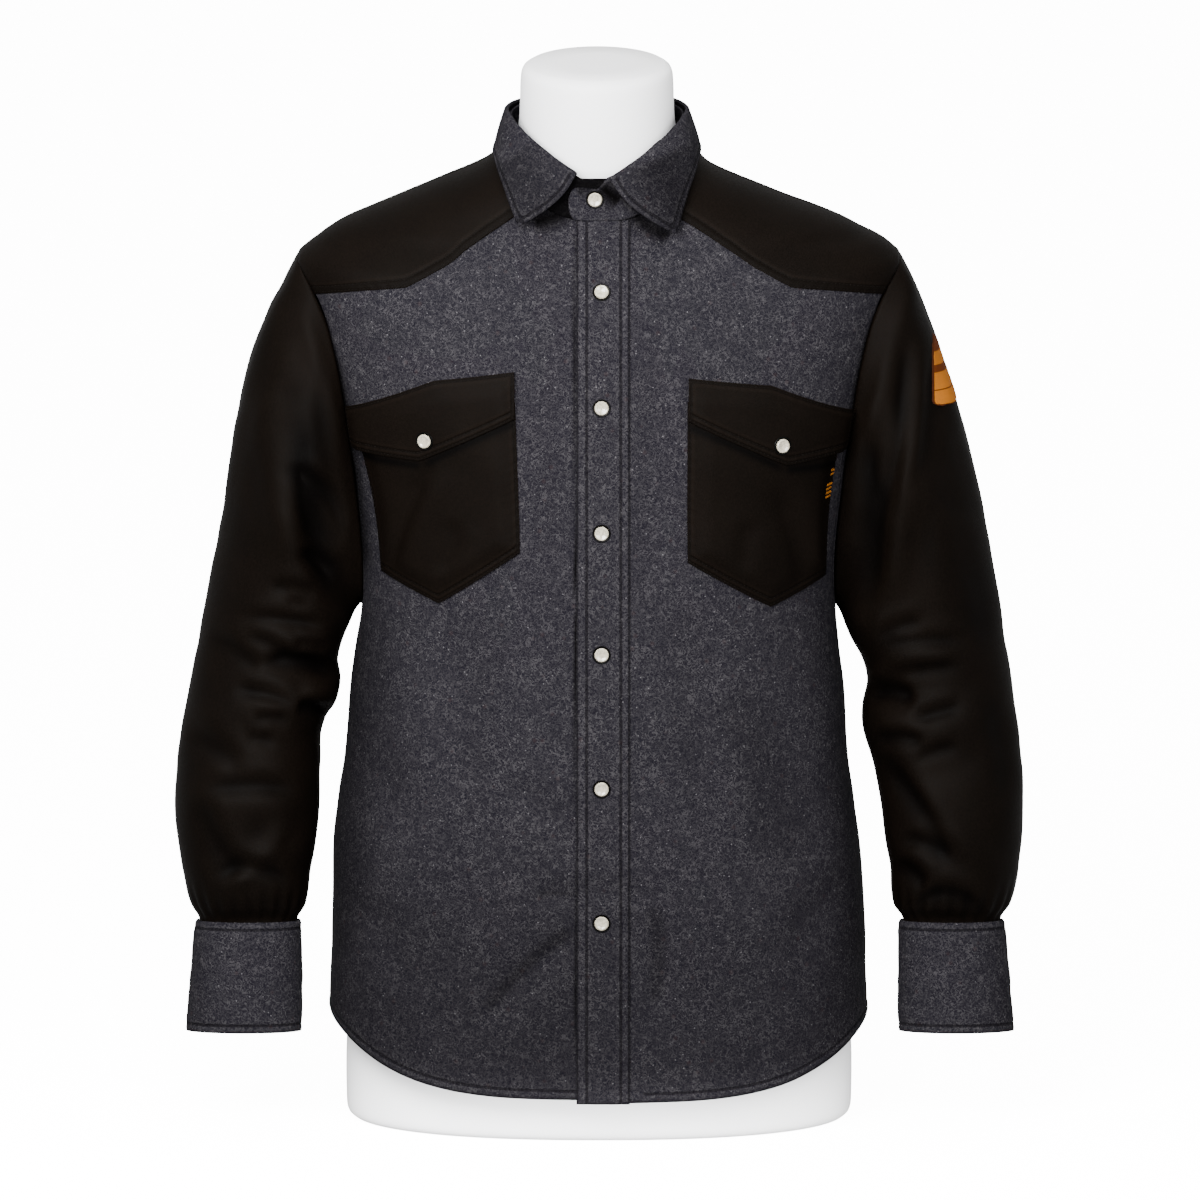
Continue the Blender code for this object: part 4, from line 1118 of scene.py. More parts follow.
def fall_surface(u, v):
    """The turned-down collar: v is 1 inside on the stand and 0 at the leaf's edge."""
    turn = FALL_END_LEFT + (360 - FALL_END_RIGHT - FALL_END_LEFT) * u
    top = stand_ring(turn)
    out = away_from_neck(top)
    along = np.clip((1 - v) / ROLL_SHARE, 0, 1) * FALL_ROLL[-1].along
    places = [point.along for point in FALL_ROLL]
    rolled = top + out * np.expand_dims(np.interp(along, places, [point.out for point in FALL_ROLL]), -1)
    rolled = rolled + stacked(0 * u, 0 * u, np.interp(along, places, [point.up for point in FALL_ROLL]))
    share = 1 - np.abs(2 * u - 1)
    side = np.where(u < 0.5, 1.0, -1.0)
    at_point = 1 - smooth_step(share / LEAF_POINT_SHARE)
    height = LEAF["height"](share) - np.where(side > 0, LEFT_POINT_DROP, 0) * at_point
    ahead = LEAF["ahead"](share) + LEAF_LIFT * at_point
    edge = stacked(NECK_ACROSS + side * LEAF["across"](share), -ahead, height)
    part = np.clip((1 - v - ROLL_SHARE) / (1 - ROLL_SHARE), 0, 1)[..., None]
    swell = LEAF_SWELL + LEAF_FRONT_SWELL * np.expand_dims(at_point, -1)
    bow = -side * LEAF_BOW * (1 - smooth_step(share / LEAF_BOW_SHARE)) * np.sin(math.pi * part[..., 0])
    points = rolled + (edge - rolled) * part + out * (COLLAR_CLOTH + swell * np.sin(math.pi * part))
    return points + stacked(bow, 0 * bow, 0 * bow)


def form_surface(u, height):
    """The dress form's skin at a turn share and a height."""
    torso = [TORSO[key](height) for key in ("half_width", "half_width", "front", "back")]
    inside = [BODY[key](height) for key in ("left", "right", "front", "back")]
    inside[2] = inside[2] - FORM_EASE
    inside[3] = inside[3] - FORM_EASE
    soft = []
    for own, limit in zip(torso, inside):
        near = np.maximum(8 - np.abs(own - limit), 0) / 8
        soft.append(np.minimum(own, limit) - near * near * 2)
    neck = [FORM_NECK_CURVES[key](height) for key in ("half_width", "half_width", "front", "back")]
    reach = [
        np.where(height > FORM_TORSO_TOP, top, np.where(height < FORM_SHOULDER, low, between))
        for top, low, between in zip(neck, torso, soft)
    ]
    angle = 2 * math.pi * u
    side, ahead = np.sin(angle), np.cos(angle)
    power = np.where(height <= FORM_TORSO_TOP, 2 / ROUND, 1.0)
    x = np.where(side >= 0, reach[0], reach[1]) * signed_power(side, power)
    y = -np.where(ahead >= 0, reach[2], reach[3]) * signed_power(ahead, power)
    x = x + NECK_ACROSS * smooth_step((height - 740) / 40)
    return stacked(x, y, height + FORM_NECK_TILT * y * smooth_step((height - 790) / 36))


# Relief of the cloth


def crease_reach(crease, across, seen, soft=0.36):
    """How far each point is off a crease's line, in its widths, and how the crease fades at its ends."""
    run = np.array([crease.to_across - crease.across, crease.to_height - crease.height])
    length = np.linalg.norm(run)
    run = run / length
    aside, up = across - crease.across, seen - crease.height
    share = (aside * run[0] + up * run[1]) / length
    arc = crease.bend * (1 - (2 * np.clip(share, 0, 1) - 1) ** 2)
    off = (up * run[0] - aside * run[1] - arc) / crease.width
    return off, smooth_step((share + soft / 3) / soft) * smooth_step((1 + soft / 3 - share) / soft)


def crease_lift(creases, across, seen):
    """How far the creases raise the cloth, by where a point is seen."""
    total = np.zeros_like(across)
    for crease in creases:
        off, fade = crease_reach(crease, across, seen)
        valley = np.exp(-(off**2)) - 0.45 * np.exp(-(((off - 1.9) / 1.2) ** 2))
        total += crease.depth * valley * fade
    return total


def seen_height(points, slant=SEEN_SLANT):
    return points[..., 2] + slant * points[..., 1]


def shadow_on(name, laid):
    """Painted shade at each point: under the pieces above it, in creases, and where the light falls off."""
    seen = seen_height(laid.points)
    dark = np.zeros_like(seen)
    for crease in SHADOWS.get(name, ()):
        off, fade = crease_reach(crease, laid.points[..., 0], seen, 0.15)
        dark = np.maximum(dark, crease.depth * np.exp(-(off**2)) * fade)
    return dark * smooth_step((-laid.normals[..., 1] + 0.3) / 0.3)


def ripple(points, size, reach):
    """A slow unevenness of the cloth."""
    x, y, z = (points[..., i] / size for i in range(3))
    uneven = np.sin(x * 1.7 + np.sin(z * 1.3 + 0.7) * 1.4) * np.sin(z * 1.9 + np.sin(x * 1.1 + y) * 1.3)
    uneven = uneven + 0.5 * np.sin(x * 3.7 + z * 2.9 + np.sin(z * 2.3 + y) * 1.7)
    return uneven * reach


def body_lift(points, normals):
    """Creases and unevenness that all layers on the body share."""
    front = smooth_step((-normals[..., 1] - 0.05) / 0.5)
    back = smooth_step((normals[..., 1] - 0.05) / 0.5)
    lift = crease_lift(BODY_CREASES, points[..., 0], seen_height(points)) * front
    lift += crease_lift(BACK_CREASES, points[..., 0], points[..., 2]) * back
    lively = 1 - smooth_step((points[..., 2] - CALM_FROM) / CALM_SOFT)
    return (lift + ripple(points, *BODY_WAVES)) * (CALM_SHARE + (1 - CALM_SHARE) * lively)


def sleeve_lift(points, normals, word):
    """Creases of a sleeve; the back of each sleeve has the other one's."""
    other = "left" if word == "right" else "right"
    front = smooth_step((-normals[..., 1] + 0.15) / 0.45)
    back = smooth_step((normals[..., 1] - 0.05) / 0.5)
    lift = crease_lift(SLEEVE_CREASES[word], points[..., 0], seen_height(points)) * front
    lift += crease_lift(SLEEVE_CREASES[other], -points[..., 0], seen_height(points, -SEEN_SLANT)) * back
    return lift + ripple(points, *SLEEVE_WAVES)


def band_step(distance, width, height, soft=1.0):
    """A doubled edge: raised up to width from the edge, with a rolled border."""
    return height * smooth_step((width - distance) / soft + 0.5) - 0.35 * np.exp(-((distance / 0.8) ** 2))


FAR = 60.0
Laid = namedtuple("Laid", "points normals start end low high")
LAID = {}


def line_distance(laid, line):
    """Each point's distance from a line of stitches, and its place along that line."""
    along_piece = line.edge in ("start", "end")
    count = laid.low.shape[1 if along_piece else 0]
    share = np.linspace(0, 1, count)
    share = share[None, :] if along_piece else share[:, None]
    away = np.abs(getattr(laid, line.edge) - line.distance)
    outside = FAR * ((share < line.first) | (share > line.last))
    return away + outside, laid.low if along_piece else laid.start


def without_side(name):
    return name.removesuffix("_left").removesuffix("_right")


def sewn_on(name):
    """The stitch lines of a piece."""
    return SEWN.get(without_side(name), ())


def sewn_relief(laid, lines):
    """Stitches press the cloth in and pucker it, and a free edge is rounded off."""
    edge = np.minimum(np.minimum(laid.start, laid.end), np.minimum(laid.low, laid.high))
    total = -ROUNDING[1] * np.exp(-((edge / ROUNDING[0]) ** 2))
    for line in lines:
        away, run = line_distance(laid, line)
        pucker = np.sin(run * 0.75 + 1.3 * np.sin(run * 0.11)) * np.exp(-((away / PUCKER[0]) ** 2))
        total += PUCKER[1] * pucker - GROOVE[1] * np.exp(-((away / GROOVE[0]) ** 2))
    return total


def stops(length, cell, first_marks, last_marks):
    """Distances along a length, with close ones at the marks, the last marks counted from the end."""
    even = np.linspace(0, length, max(int(round(length / cell)), 2) + 1)
    marks = [*first_marks, *(length - mark for mark in last_marks)]
    close = np.array([mark + step for mark in marks for step in CLOSE_ROWS] or [-FAR])
    away = np.abs(even[:, None] - close[None, :]).min(axis=1) > CLEAR_OF_ROWS
    away[0] = away[-1] = True
    return np.unique(np.concatenate([even[away], close[(close > 0) & (close < length)]]))


def run_along(points, axis):
    """Distance from the first edge along one axis of a grid of points."""
    steps = np.linalg.norm(np.diff(points, axis=axis), axis=-1)
    shape = (1, points.shape[1]) if axis == 0 else (points.shape[0], 1)
    return np.concatenate([np.zeros(shape), np.cumsum(steps, axis=axis)], axis=axis)


def keep_distance(shares, distances, run, first_marks, last_marks):
    """Shares at which the rows near both edges keep their distance from those edges."""
    near, far = max(first_marks, default=0) + 2, max(last_marks, default=0) + 2
    nominal, total = distances[-1], run[-1]
    wanted = np.where(
        distances <= near,
        distances,
        np.where(
            distances >= nominal - far,
            total - (nominal - distances),
            near + (distances - near) * (total - near - far) / (nominal - near - far),
        ),
    )
    return np.interp(wanted, run, shares)


def spread(points, closed, flipped):
    """Outward normals of a grid of points."""
    grid = points[::-1] if flipped else points
    if closed:
        wrapped = np.concatenate([grid[-2:-1], grid, grid[1:2]])
        along = np.gradient(wrapped, axis=0)[1:-1]
    else:
        along = np.gradient(grid, axis=0)
    normals = unit(np.cross(along, np.gradient(grid, axis=1)))
    return normals[::-1] if flipped else normals


def lay_out(surface, size, cell, lines, closed=False, flipped=False):
    """Points of a cloth grid, its normals, and each point's distance from the edges."""
    marks = {edge: [line.distance for line in lines if line.edge == edge] for edge in Laid._fields[2:]}
    across = stops(size[0], cell, marks["start"], marks["end"])
    along = stops(size[1], cell, marks["low"], marks["high"])
    u, v = np.meshgrid(across / size[0], along / size[1], indexing="ij")
    if not closed:
        run = run_along(surface(u, v), 0)
        for j in range(len(along)):
            u[:, j] = keep_distance(across / size[0], across, run[:, j], marks["start"], marks["end"])
    run = run_along(surface(u, v), 1)
    for i in range(len(across)):
        v[i] = keep_distance(along / size[1], along, run[i], marks["low"], marks["high"])
    points = surface(u, v)
    start, low = run_along(points, 0), run_along(points, 1)
    return Laid(points, spread(points, closed, flipped), start, start[-1:] - start, low, low[:, -1:] - low)


def mesh_of(bm, name):
    """The mesh built in bm, which is freed."""
    mesh = bpy.data.meshes.new(name)
    bm.to_mesh(mesh)
    bm.free()
    return mesh


def set_down(name, data):
    """A new object in the scene."""
    made = bpy.data.objects.new(name, data)
    bpy.context.scene.collection.objects.link(made)
    return made


def grid_object(name, laid, material, values, closed=False, flipped=False):
    """A mesh on the laid points, with a weave map in metres and the named values of each point."""
    count_u, count_v = laid.points.shape[:2]
    bm = bmesh.new()
    bmesh.ops.create_grid(bm, x_segments=count_u - 1, y_segments=count_v - 1, size=0.5)
    mesh = mesh_of(bm, name)
    flat = np.empty(len(mesh.vertices) * 3)
    mesh.vertices.foreach_get("co", flat)
    flat = flat.reshape(-1, 3)
    column = np.rint((flat[:, 0] + 0.5) * (count_u - 1)).astype(int)
    row = np.rint((flat[:, 1] + 0.5) * (count_v - 1)).astype(int)
    if flipped:
        column = count_u - 1 - column
    mesh.vertices.foreach_set("co", (laid.points[column, row] * MM).ravel())
    corners = np.empty(len(mesh.loops), int)
    mesh.loops.foreach_get("vertex_index", corners)
    weave = np.stack([laid.start[column, row], laid.low[column, row]], axis=-1) * MM
    mesh.uv_layers.new(name="Weave").data.foreach_set("uv", weave[corners].ravel())
    for key, value in values.items():
        mesh.attributes.new(key, "FLOAT", "POINT").data.foreach_set("value", value[column, row])
    if closed:
        bm = bmesh.new()
        bm.from_mesh(mesh)
        bmesh.ops.remove_doubles(bm, verts=bm.verts, dist=1e-6)
        bm.to_mesh(mesh)
        bm.free()
    mesh.shade_smooth()
    mesh.materials.append(material)
    return set_down(name, mesh)


def cut_of(laid):
    """Width, length and area of the flat cut."""
    along = np.linalg.norm(np.diff(laid.points, axis=0), axis=-1)
    up = np.linalg.norm(np.diff(laid.points, axis=1), axis=-1)
    width, length = along.sum(axis=0).max(), up.sum(axis=1).max()
    first = laid.points[1:, 1:] - laid.points[:-1, :-1]
    second = laid.points[:-1, 1:] - laid.points[1:, :-1]
    area = 0.5 * np.linalg.norm(np.cross(first, second), axis=-1).sum()
    return width * MM, length * MM, min(area, width * length) * MM * MM


def settle(name, surface, settings, lift=None, dark=None, **way):
    """Makes a piece of cloth in place of its solid, with its relief, its stitch lines and its wall."""
    piece = PIECES[without_side(name)]
    cell = settings.cell / MM * piece.spacing * 1.0
    lines = sewn_on(name)
    laid = lay_out(surface, (piece.width, piece.length), cell, lines, **way)
    lifted = lift(laid) if lift else 0 * laid.low
    # Painted shade kept on the cloth: the listed shadows, the troughs of creases and any dark part given.
    shade = np.maximum(shadow_on(name, laid), np.clip(-lifted * TROUGH_SHADE[piece.cloth], 0, TROUGH_MOST))
    if dark:
        shade = np.maximum(shade, dark(laid))
    points = laid.points + laid.normals * (sewn_relief(laid, lines) + lifted)[..., None]
    laid = laid._replace(points=points, normals=spread(points, way.get("closed"), way.get("flipped")))
    seam = np.full(laid.low.shape, FAR)
    for line in lines:
        seam = np.minimum(seam, line_distance(laid, line)[0])
    cloth = material(piece.cloth, settings)
    made = grid_object(f"cloth_{name}", laid, cloth, {"seam": seam, "shade": shade}, **way)
    solidify = made.modifiers.new("Wall", "SOLIDIFY")
    solidify.thickness = piece.wall * MM if piece.wall else settings.cloth
    solidify.offset = -1.0
    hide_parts(name)
    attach(made, "root")
    width, length, area = cut_of(laid)
    LAID[name] = laid


# Shaders


class Signal:
    """A shader socket that is used in expressions."""

    def __init__(self, tree, socket):
        self.tree = tree
        self.socket = socket

    def maths(self, operation, *others, clamp=False):
        values = dict(enumerate((self, *others)))
        settings = {"operation": operation, "use_clamp": clamp}
        return add_node(self.tree, "ShaderNodeMath", settings, values)

    def __add__(self, other):
        return self.maths("ADD", other)

    def __radd__(self, other):
        return self.maths("ADD", other)

    def __sub__(self, other):
        return self.maths("SUBTRACT", other)

    def __rsub__(self, other):
        return self.maths("MULTIPLY", -1.0).maths("ADD", other)

    def __mul__(self, other):
        return self.maths("MULTIPLY", other)

    def __rmul__(self, other):
        return self.maths("MULTIPLY", other)

    def __abs__(self):
        return self.maths("ABSOLUTE")

    def between(self, low, high):
        """0 at low and 1 at high, smoothly."""
        values = {"Value": self, "From Min": low, "From Max": high}
        return add_node(self.tree, "ShaderNodeMapRange", {"interpolation_type": "SMOOTHSTEP"}, values)


def add_node(tree, kind, settings=None, values=None, output=0):
    """Adds a node, sets it up, fills its sockets and gives one of its outputs."""
    node = tree.nodes.new(kind)
    for name, value in (settings or {}).items():
        setattr(node, name, value)
    for key, value in (values or {}).items():
        if isinstance(value, Signal):
            tree.links.new(value.socket, node.inputs[key])
        else:
            node.inputs[key].default_value = value
    return Signal(tree, node.outputs[output])


def colour_of(values, strength=1.0):
    return (*(value * strength for value in values), 1.0)


def colour_mix(tree, share, first, second):
    return add_node(tree, "ShaderNodeMix", {"data_type": "RGBA"}, {0: share, 6: first, 7: second}, 2)


def two_tone(tree, share, values, first, last):
    """A mix of two strengths of one colour."""
    return colour_mix(tree, share, colour_of(values, first), colour_of(values, last))


def new_material(name, roughness, **constants):
    made = bpy.data.materials.new(name)
    made.use_nodes = True
    shader = made.node_tree.nodes["Principled BSDF"]
    shader.inputs["Roughness"].default_value = roughness
    for key, value in constants.items():
        shader.inputs[key.replace("_", " ").title().replace("Ior", "IOR")].default_value = value
    return made, made.node_tree, shader


def feed(tree, shader, socket, value):
    if isinstance(value, Signal):
        tree.links.new(value.socket, shader.inputs[socket])
    else:
        shader.inputs[socket].default_value = value


def noise(tree, place, scale, detail=2.0, distortion=0.0):
    values = {"Vector": place, "Scale": scale, "Detail": detail, "Distortion": distortion}
    return add_node(tree, "ShaderNodeTexNoise", None, values)


def cells(tree, place, scale, randomness):
    values = {"Vector": place, "Scale": scale, "Randomness": randomness}
    return add_node(tree, "ShaderNodeTexVoronoi", None, values)


def object_place(tree):
    return add_node(tree, "ShaderNodeTexCoord", None, None, "Object")


def weave_axes(tree):
    """The two directions of the weave, in metres."""
    uv = add_node(tree, "ShaderNodeUVMap", {"uv_map": "Weave"})
    return tuple(add_node(tree, "ShaderNodeSeparateXYZ", None, {0: uv}, axis) for axis in (0, 1))


def wave(axis, pitch):
    """A wave from 0 to 1 along an axis of the weave, its pitch in metres."""
    return (axis * (2 * math.pi / pitch)).maths("SINE") * 0.5 + 0.5


def attribute(tree, name):
    return add_node(tree, "ShaderNodeAttribute", {"attribute_name": name}, None, "Fac")


def bump(tree, height, strength, distance):
    values = {"Strength": strength, "Distance": distance, "Height": height}
    return add_node(tree, "ShaderNodeBump", None, values)


# Colour of painted shade.
PAINTED_SHADE_COLOUR = (0.0003, 0.0002, 0.0002)
DENIM_PITCH = 0.0011
TWILL_PITCH = 0.0012
TWILL_CROSS_PITCH = 0.0008
LABEL_PITCH = 0.0007
# Bars across the label, in metres above its lower edge; the top one runs on to the upper edge.
LABEL_TOP_BAR = (0.0452, 0.0458)
LABEL_BARS = table_of("low high soft", (0.0285, 0.035, 0.0005), (0.0142, 0.0155, 0.0003))


def seam_shade(tree):
    """How close a place is to a line of stitches, where a dark seam is partly painted shade of its groove,
    and how far the doubled cloth beside it is worn.
    """
    away = attribute(tree, "seam")
    line = 1 - away.between(0.5, 1.5)
    worn = away.between(1.0, 2.0) * (1 - away.between(2.6, 5.0))
    return line, worn


def in_shadow(tree, colour):
    """A colour, mixed toward the painted shade colour by the painted shade kept on the cloth: under other
    pieces, deep in folds and where the light falls off.
    """
    return colour_mix(tree, attribute(tree, "shade"), colour, colour_of(PAINTED_SHADE_COLOUR))


def denim_material(settings):
    """Charcoal denim: curled pale yarns, mottled ground, a few neps and warm specks."""
    made, tree, shader = new_material("Charcoal denim", 0.95, specular_ior_level=0.02)
    place = object_place(tree)
    across, along = weave_axes(tree)
    line, worn = seam_shade(tree)
    mottle = noise(tree, place, 26.0, 3.0).between(0.3, 0.7)
    patch = noise(tree, place, 110.0, 1.0).between(0.38, 0.6)
    curl = 1 - abs(noise(tree, place, 300.0, 1.0, 0.9) - 0.5).between(0.01, 0.075)
    fine = 1 - abs(noise(tree, place, 480.0, 1.5, 0.5) - 0.5).between(0.0, 0.12)
    grain = noise(tree, place, 900.0, 2.0).between(0.3, 0.72)
    warp, weft = wave(across, DENIM_PITCH), wave(along, DENIM_PITCH)
    pale = curl * (patch * 0.35 + 0.35) + fine * 0.25 + grain * 0.16 + warp * weft * 0.1
    pale = pale * (mottle * 0.16 + 0.86) * (1 - line * 0.3) + worn * fine * 0.2
    ground = colour_mix(tree, pale, colour_of(settings.denim_dark), colour_of(settings.denim_light))
    picks = noise(tree, place, 210.0, 0.0).between(0.36, 0.64)
    neps = (1 - cells(tree, place, 190.0, 1.0).between(0.04, 0.15)) * picks
    warm = (1 - cells(tree, place, 62.0, 0.9).between(0.05, 0.16)) * 0.22
    speckled = colour_mix(tree, warm, ground, colour_of(settings.speck))
    worked = colour_mix(tree, neps * 0.5, speckled, colour_of(settings.nep))
    # Darker seam along stitch lines, partly painted shade of their grooves, then the painted shade.
    sewn = colour_mix(tree, line * 0.45, worked, colour_of(settings.twill_dark))
    feed(tree, shader, "Base Color", in_shadow(tree, sewn))
    height = curl * 0.5 + fine * 0.3 + warp * weft * 0.3 + grain * 0.3 - line * 1.2
    feed(tree, shader, "Normal", bump(tree, height, 0.6, 0.0004))
    return made


def twill_material(settings):
    """Brown-black twill: fine slanted ribs, a slight bloom along them and a soft gloss."""
    made, tree, shader = new_material("Brown-black twill", 0.62, specular_ior_level=0.022)
    place = object_place(tree)
    across, along = weave_axes(tree)
    line, worn = seam_shade(tree)
    rib = wave(across + along * 0.9, TWILL_PITCH)
    cross = wave(across, TWILL_CROSS_PITCH)
    wear = noise(tree, place, 22.0, 4.0).between(0.3, 0.75)
    grain = noise(tree, place, 700.0, 2.0).between(0.25, 0.75)
    pale = rib * 0.4 + grain * 0.35 + wear * 0.25 + worn * 0.3
    # Darker along stitch lines, partly painted shade of their grooves.
    pale = pale * (1 - line * 0.6)
    ribbed = colour_mix(tree, pale, colour_of(settings.twill_dark), colour_of(settings.twill_light))
    feed(tree, shader, "Base Color", in_shadow(tree, ribbed))
    feed(tree, shader, "Roughness", grain * 0.12 + 0.52)
    feed(tree, shader, "Normal", bump(tree, rib * 0.6 + cross * 0.2 + grain * 0.3 - line, 0.35, 0.0003))
    return made


def thread_material(name, colour):
    made, tree, shader = new_material(name, 0.8, specular_ior_level=0.06)
    place = object_place(tree)
    twist = noise(tree, place, 1500.0, 1.0).between(0.3, 0.7)
    feed(tree, shader, "Base Color", two_tone(tree, twist * 0.5, colour, 1.0, 1.8))
    feed(tree, shader, "Normal", bump(tree, twist, 0.4, 0.0002))
    return made


def pearl_material(settings):
    made, tree, shader = new_material("Pearl", 0.22, coat_weight=0.5, coat_roughness=0.12)
    place = object_place(tree)
    swirl = noise(tree, place, 330.0, 2.0, 1.6).between(0.3, 0.7)
    feed(tree, shader, "Base Color", two_tone(tree, swirl, settings.pearl, 0.6, 1.0))
    feed(tree, shader, "Roughness", swirl * 0.1 + 0.16)
    return made


def ring_material(settings):
    made, tree, shader = new_material("Snap ring metal", 0.36, metallic=1.0)
    place = object_place(tree)
    worn = noise(tree, place, 420.0, 3.0).between(0.35, 0.7)
    feed(tree, shader, "Base Color", two_tone(tree, worn, settings.metal, 0.7, 1.0))
    feed(tree, shader, "Roughness", worn * 0.14 + 0.3)
    return made


def label_material(settings):
    """A woven label: a dark border round a plain field, with plain bars across it."""
    made, tree, shader = new_material("Woven label", 0.8, specular_ior_level=0.03)
    place = object_place(tree)
    along = weave_axes(tree)[1]
    bars = along.between(*LABEL_TOP_BAR)
    for low, high, soft in LABEL_BARS:
        bars = bars + along.between(low, low + soft) * (1 - along.between(high - soft, high))
    border = 1 - attribute(tree, "seam").between(2.0, 2.5)
    weft = wave(along, LABEL_PITCH)
    grain = noise(tree, place, 800.0, 2.0).between(0.3, 0.7)
    field = two_tone(tree, weft * 0.3 + grain * 0.3, settings.label, 1.0, 0.62)
    bars = colour_mix(tree, bars, field, colour_of(settings.label_bar))
    feed(tree, shader, "Base Color", colour_mix(tree, border, bars, colour_of(settings.label_border)))
    feed(tree, shader, "Normal", bump(tree, weft + grain * 0.4, 0.4, 0.0002))
    return made


def form_material(settings):
    made, tree, shader = new_material("Form white", 0.48, specular_ior_level=0.3)
    place = object_place(tree)
    haze = noise(tree, place, 9.0, 3.0).between(0.3, 0.7)
    pores = noise(tree, place, 520.0, 2.0)
    feed(tree, shader, "Base Color", two_tone(tree, haze, settings.form, 0.985, 1.0))
    feed(tree, shader, "Roughness", haze * 0.08 + 0.44)
    feed(tree, shader, "Normal", bump(tree, pores, 0.05, 0.0002))
    return made


def floor_material(settings):
    made, tree, shader = new_material("Pale floor", 0.7, specular_ior_level=0.1, emission_strength=13.0)
    place = object_place(tree)
    haze = noise(tree, place, 1.2, 2.0).between(0.3, 0.7)
    feed(tree, shader, "Base Color", two_tone(tree, haze, settings.floor, 0.99, 1.0))
    return made


MATERIALS = {}


def material(name, settings):
    """A material of the shirt, made once."""
    makers = {
        "denim": denim_material,
        "twill": twill_material,
        "pearl": pearl_material,
        "ring": ring_material,
        "label": label_material,
        "form": form_material,
        "floor": floor_material,
        "denim_thread": lambda values: thread_material("Denim thread", values.denim_thread),
        "twill_thread": lambda values: thread_material("Twill thread", values.twill_thread),
        "orange_thread": lambda values: thread_material("Orange thread", [c * 0.5 for c in values.label]),
    }
    if name not in MATERIALS:
        MATERIALS[name] = makers[name](settings)
    return MATERIALS[name]


# Pieces

SIDES = (("right", -1), ("left", 1))


def panel_lift(settings, *sides):
    """The relief of a body panel: creases, the hem, and the doubled edge along its armholes."""

    def lift(laid):
        rise = body_lift(laid.points, laid.normals) * settings.crease
        rise = rise + band_step(laid.low, HEM_STITCH, HEM_STEP)
        side = np.minimum.reduce([getattr(laid, edge) for edge in sides])
        at_armhole = smooth_step((laid.points[..., 2] - ARMPIT - 8) / 14)
        return rise + band_step(side, ARMHOLE_STITCH, ARMHOLE_STEP) * at_armhole

    return lift


def build_fronts(settings):
    for word, side in SIDES:
        settle(f"front_{word}", front_surface(side), settings, panel_lift(settings, "end"), flipped=side < 0)


def build_back(settings):
    settle("back", back_surface(), settings, panel_lift(settings, "start", "end"))


def yoke_lift(settings):
    def lift(laid):
        rise = body_lift(laid.points, laid.normals) * settings.crease
        return rise + band_step(laid.low, YOKE_STITCH, YOKE_STEP)

    return lift


def build_front_yokes(settings):
    for word, side in SIDES:
        surface = front_yoke_surface(side)
        settle(f"front_yoke_{word}", surface, settings, yoke_lift(settings), flipped=side < 0)


def build_back_yoke(settings):
    settle("back_yoke", back_yoke_surface(), settings, yoke_lift(settings))


def build_placket(settings):
    def lift(laid):
        rise = body_lift(laid.points, laid.normals) * settings.crease
        middle = smooth_step(np.minimum(laid.start, laid.end) / BAND_STITCH - 0.6)
        return rise + band_step(laid.low, HEM_STITCH, BAND_HEM_STEP) + BAND_SWELL * middle

    settle("placket", placket_surface(), settings, lift)


def build_pockets(settings):
    def lift(laid):
        edge = np.minimum(np.minimum(laid.start, laid.end), laid.low)
        own = crease_lift(POCKET_CREASES, laid.points[..., 0], seen_height(laid.points))
        rise = body_lift(laid.points, laid.normals) + own
        held = smooth_step(edge / 22)
        puffed = rise * settings.crease * (0.3 + 0.7 * held) + POCKET_PUFF * held
        return np.maximum(puffed, POCKET_SWELL)

    for word, shape in POCKETS.items():
        rise = POCKET_RISE + CLOTH
        surface = patch_surface(shape.pocket_low, shape.pocket_top, shape.side, POCKET_WAIST, rise)
        settle(f"pocket_{word}", surface, settings, lift, flipped=shape.side < 0)


def build_flaps(settings):
    def lift(laid):
        side = np.minimum(laid.start, laid.end)
        belly = FLAP_PUFF * smooth_step(laid.high / 20) * smooth_step(side / 14)
        return body_lift(laid.points, laid.normals) * settings.crease + belly + FLAP_SWELL

    for word, shape in POCKETS.items():
        surface = patch_surface(shape.flap_low, shape.flap_top, shape.side, 0, FLAP_RISE + FLAP_CLOTH)
        settle(f"flap_{word}", surface, settings, lift, flipped=shape.side < 0)


def sleeve_share(v):
    """Where a row of the sleeve lies on it; the rows below the armpit lie closer together."""
    below = SLEEVE_SPLIT * (v / ROWS_BELOW_ARMPIT) ** (1 / RING_POWER)
    above = SLEEVE_SPLIT + (1 - SLEEVE_SPLIT) * (v - ROWS_BELOW_ARMPIT) / (1 - ROWS_BELOW_ARMPIT)
    return np.where(v < ROWS_BELOW_ARMPIT, below, above)


def gathers(laid):
    """The shirring just above the cuff."""
    count = len(laid.low)
    folds = np.sin(np.arange(count) / (count - 1) * 2 * math.pi * GATHERS)[:, None] ** 2
    return -GATHER_DEPTH * folds * np.exp(-(((laid.low - GATHER_HEIGHT) / GATHER_REACH) ** 2))


def build_sleeves(settings):
    for word, side in SIDES:

        def surface(u, v):
            v = sleeve_share(v)
            points = sleeve_bare(360 * u, v)
            fade = smooth_step((1 - v) * 8) * smooth_step(v * 12)
            folds = fold_depth(SLEEVE_FOLDS[word], points[..., 2], 360 * u, FOLD_RADIUS) * fade * FOLD_SHARE
            shift = edge_shift(word, 360 * u, v, points[..., 2])
            points = points + spread(points, True, False) * folds[..., None] + stacked(shift, 0, 0)
            return points * (side, 1, 1)

        def lift(laid):
            fade = smooth_step(laid.high / 26) * smooth_step(laid.low / 16)
            return sleeve_lift(laid.points, laid.normals, word) * fade * settings.crease + gathers(laid)

        settle(f"sleeve_{word}", surface, settings, lift, closed=True, flipped=side < 0)


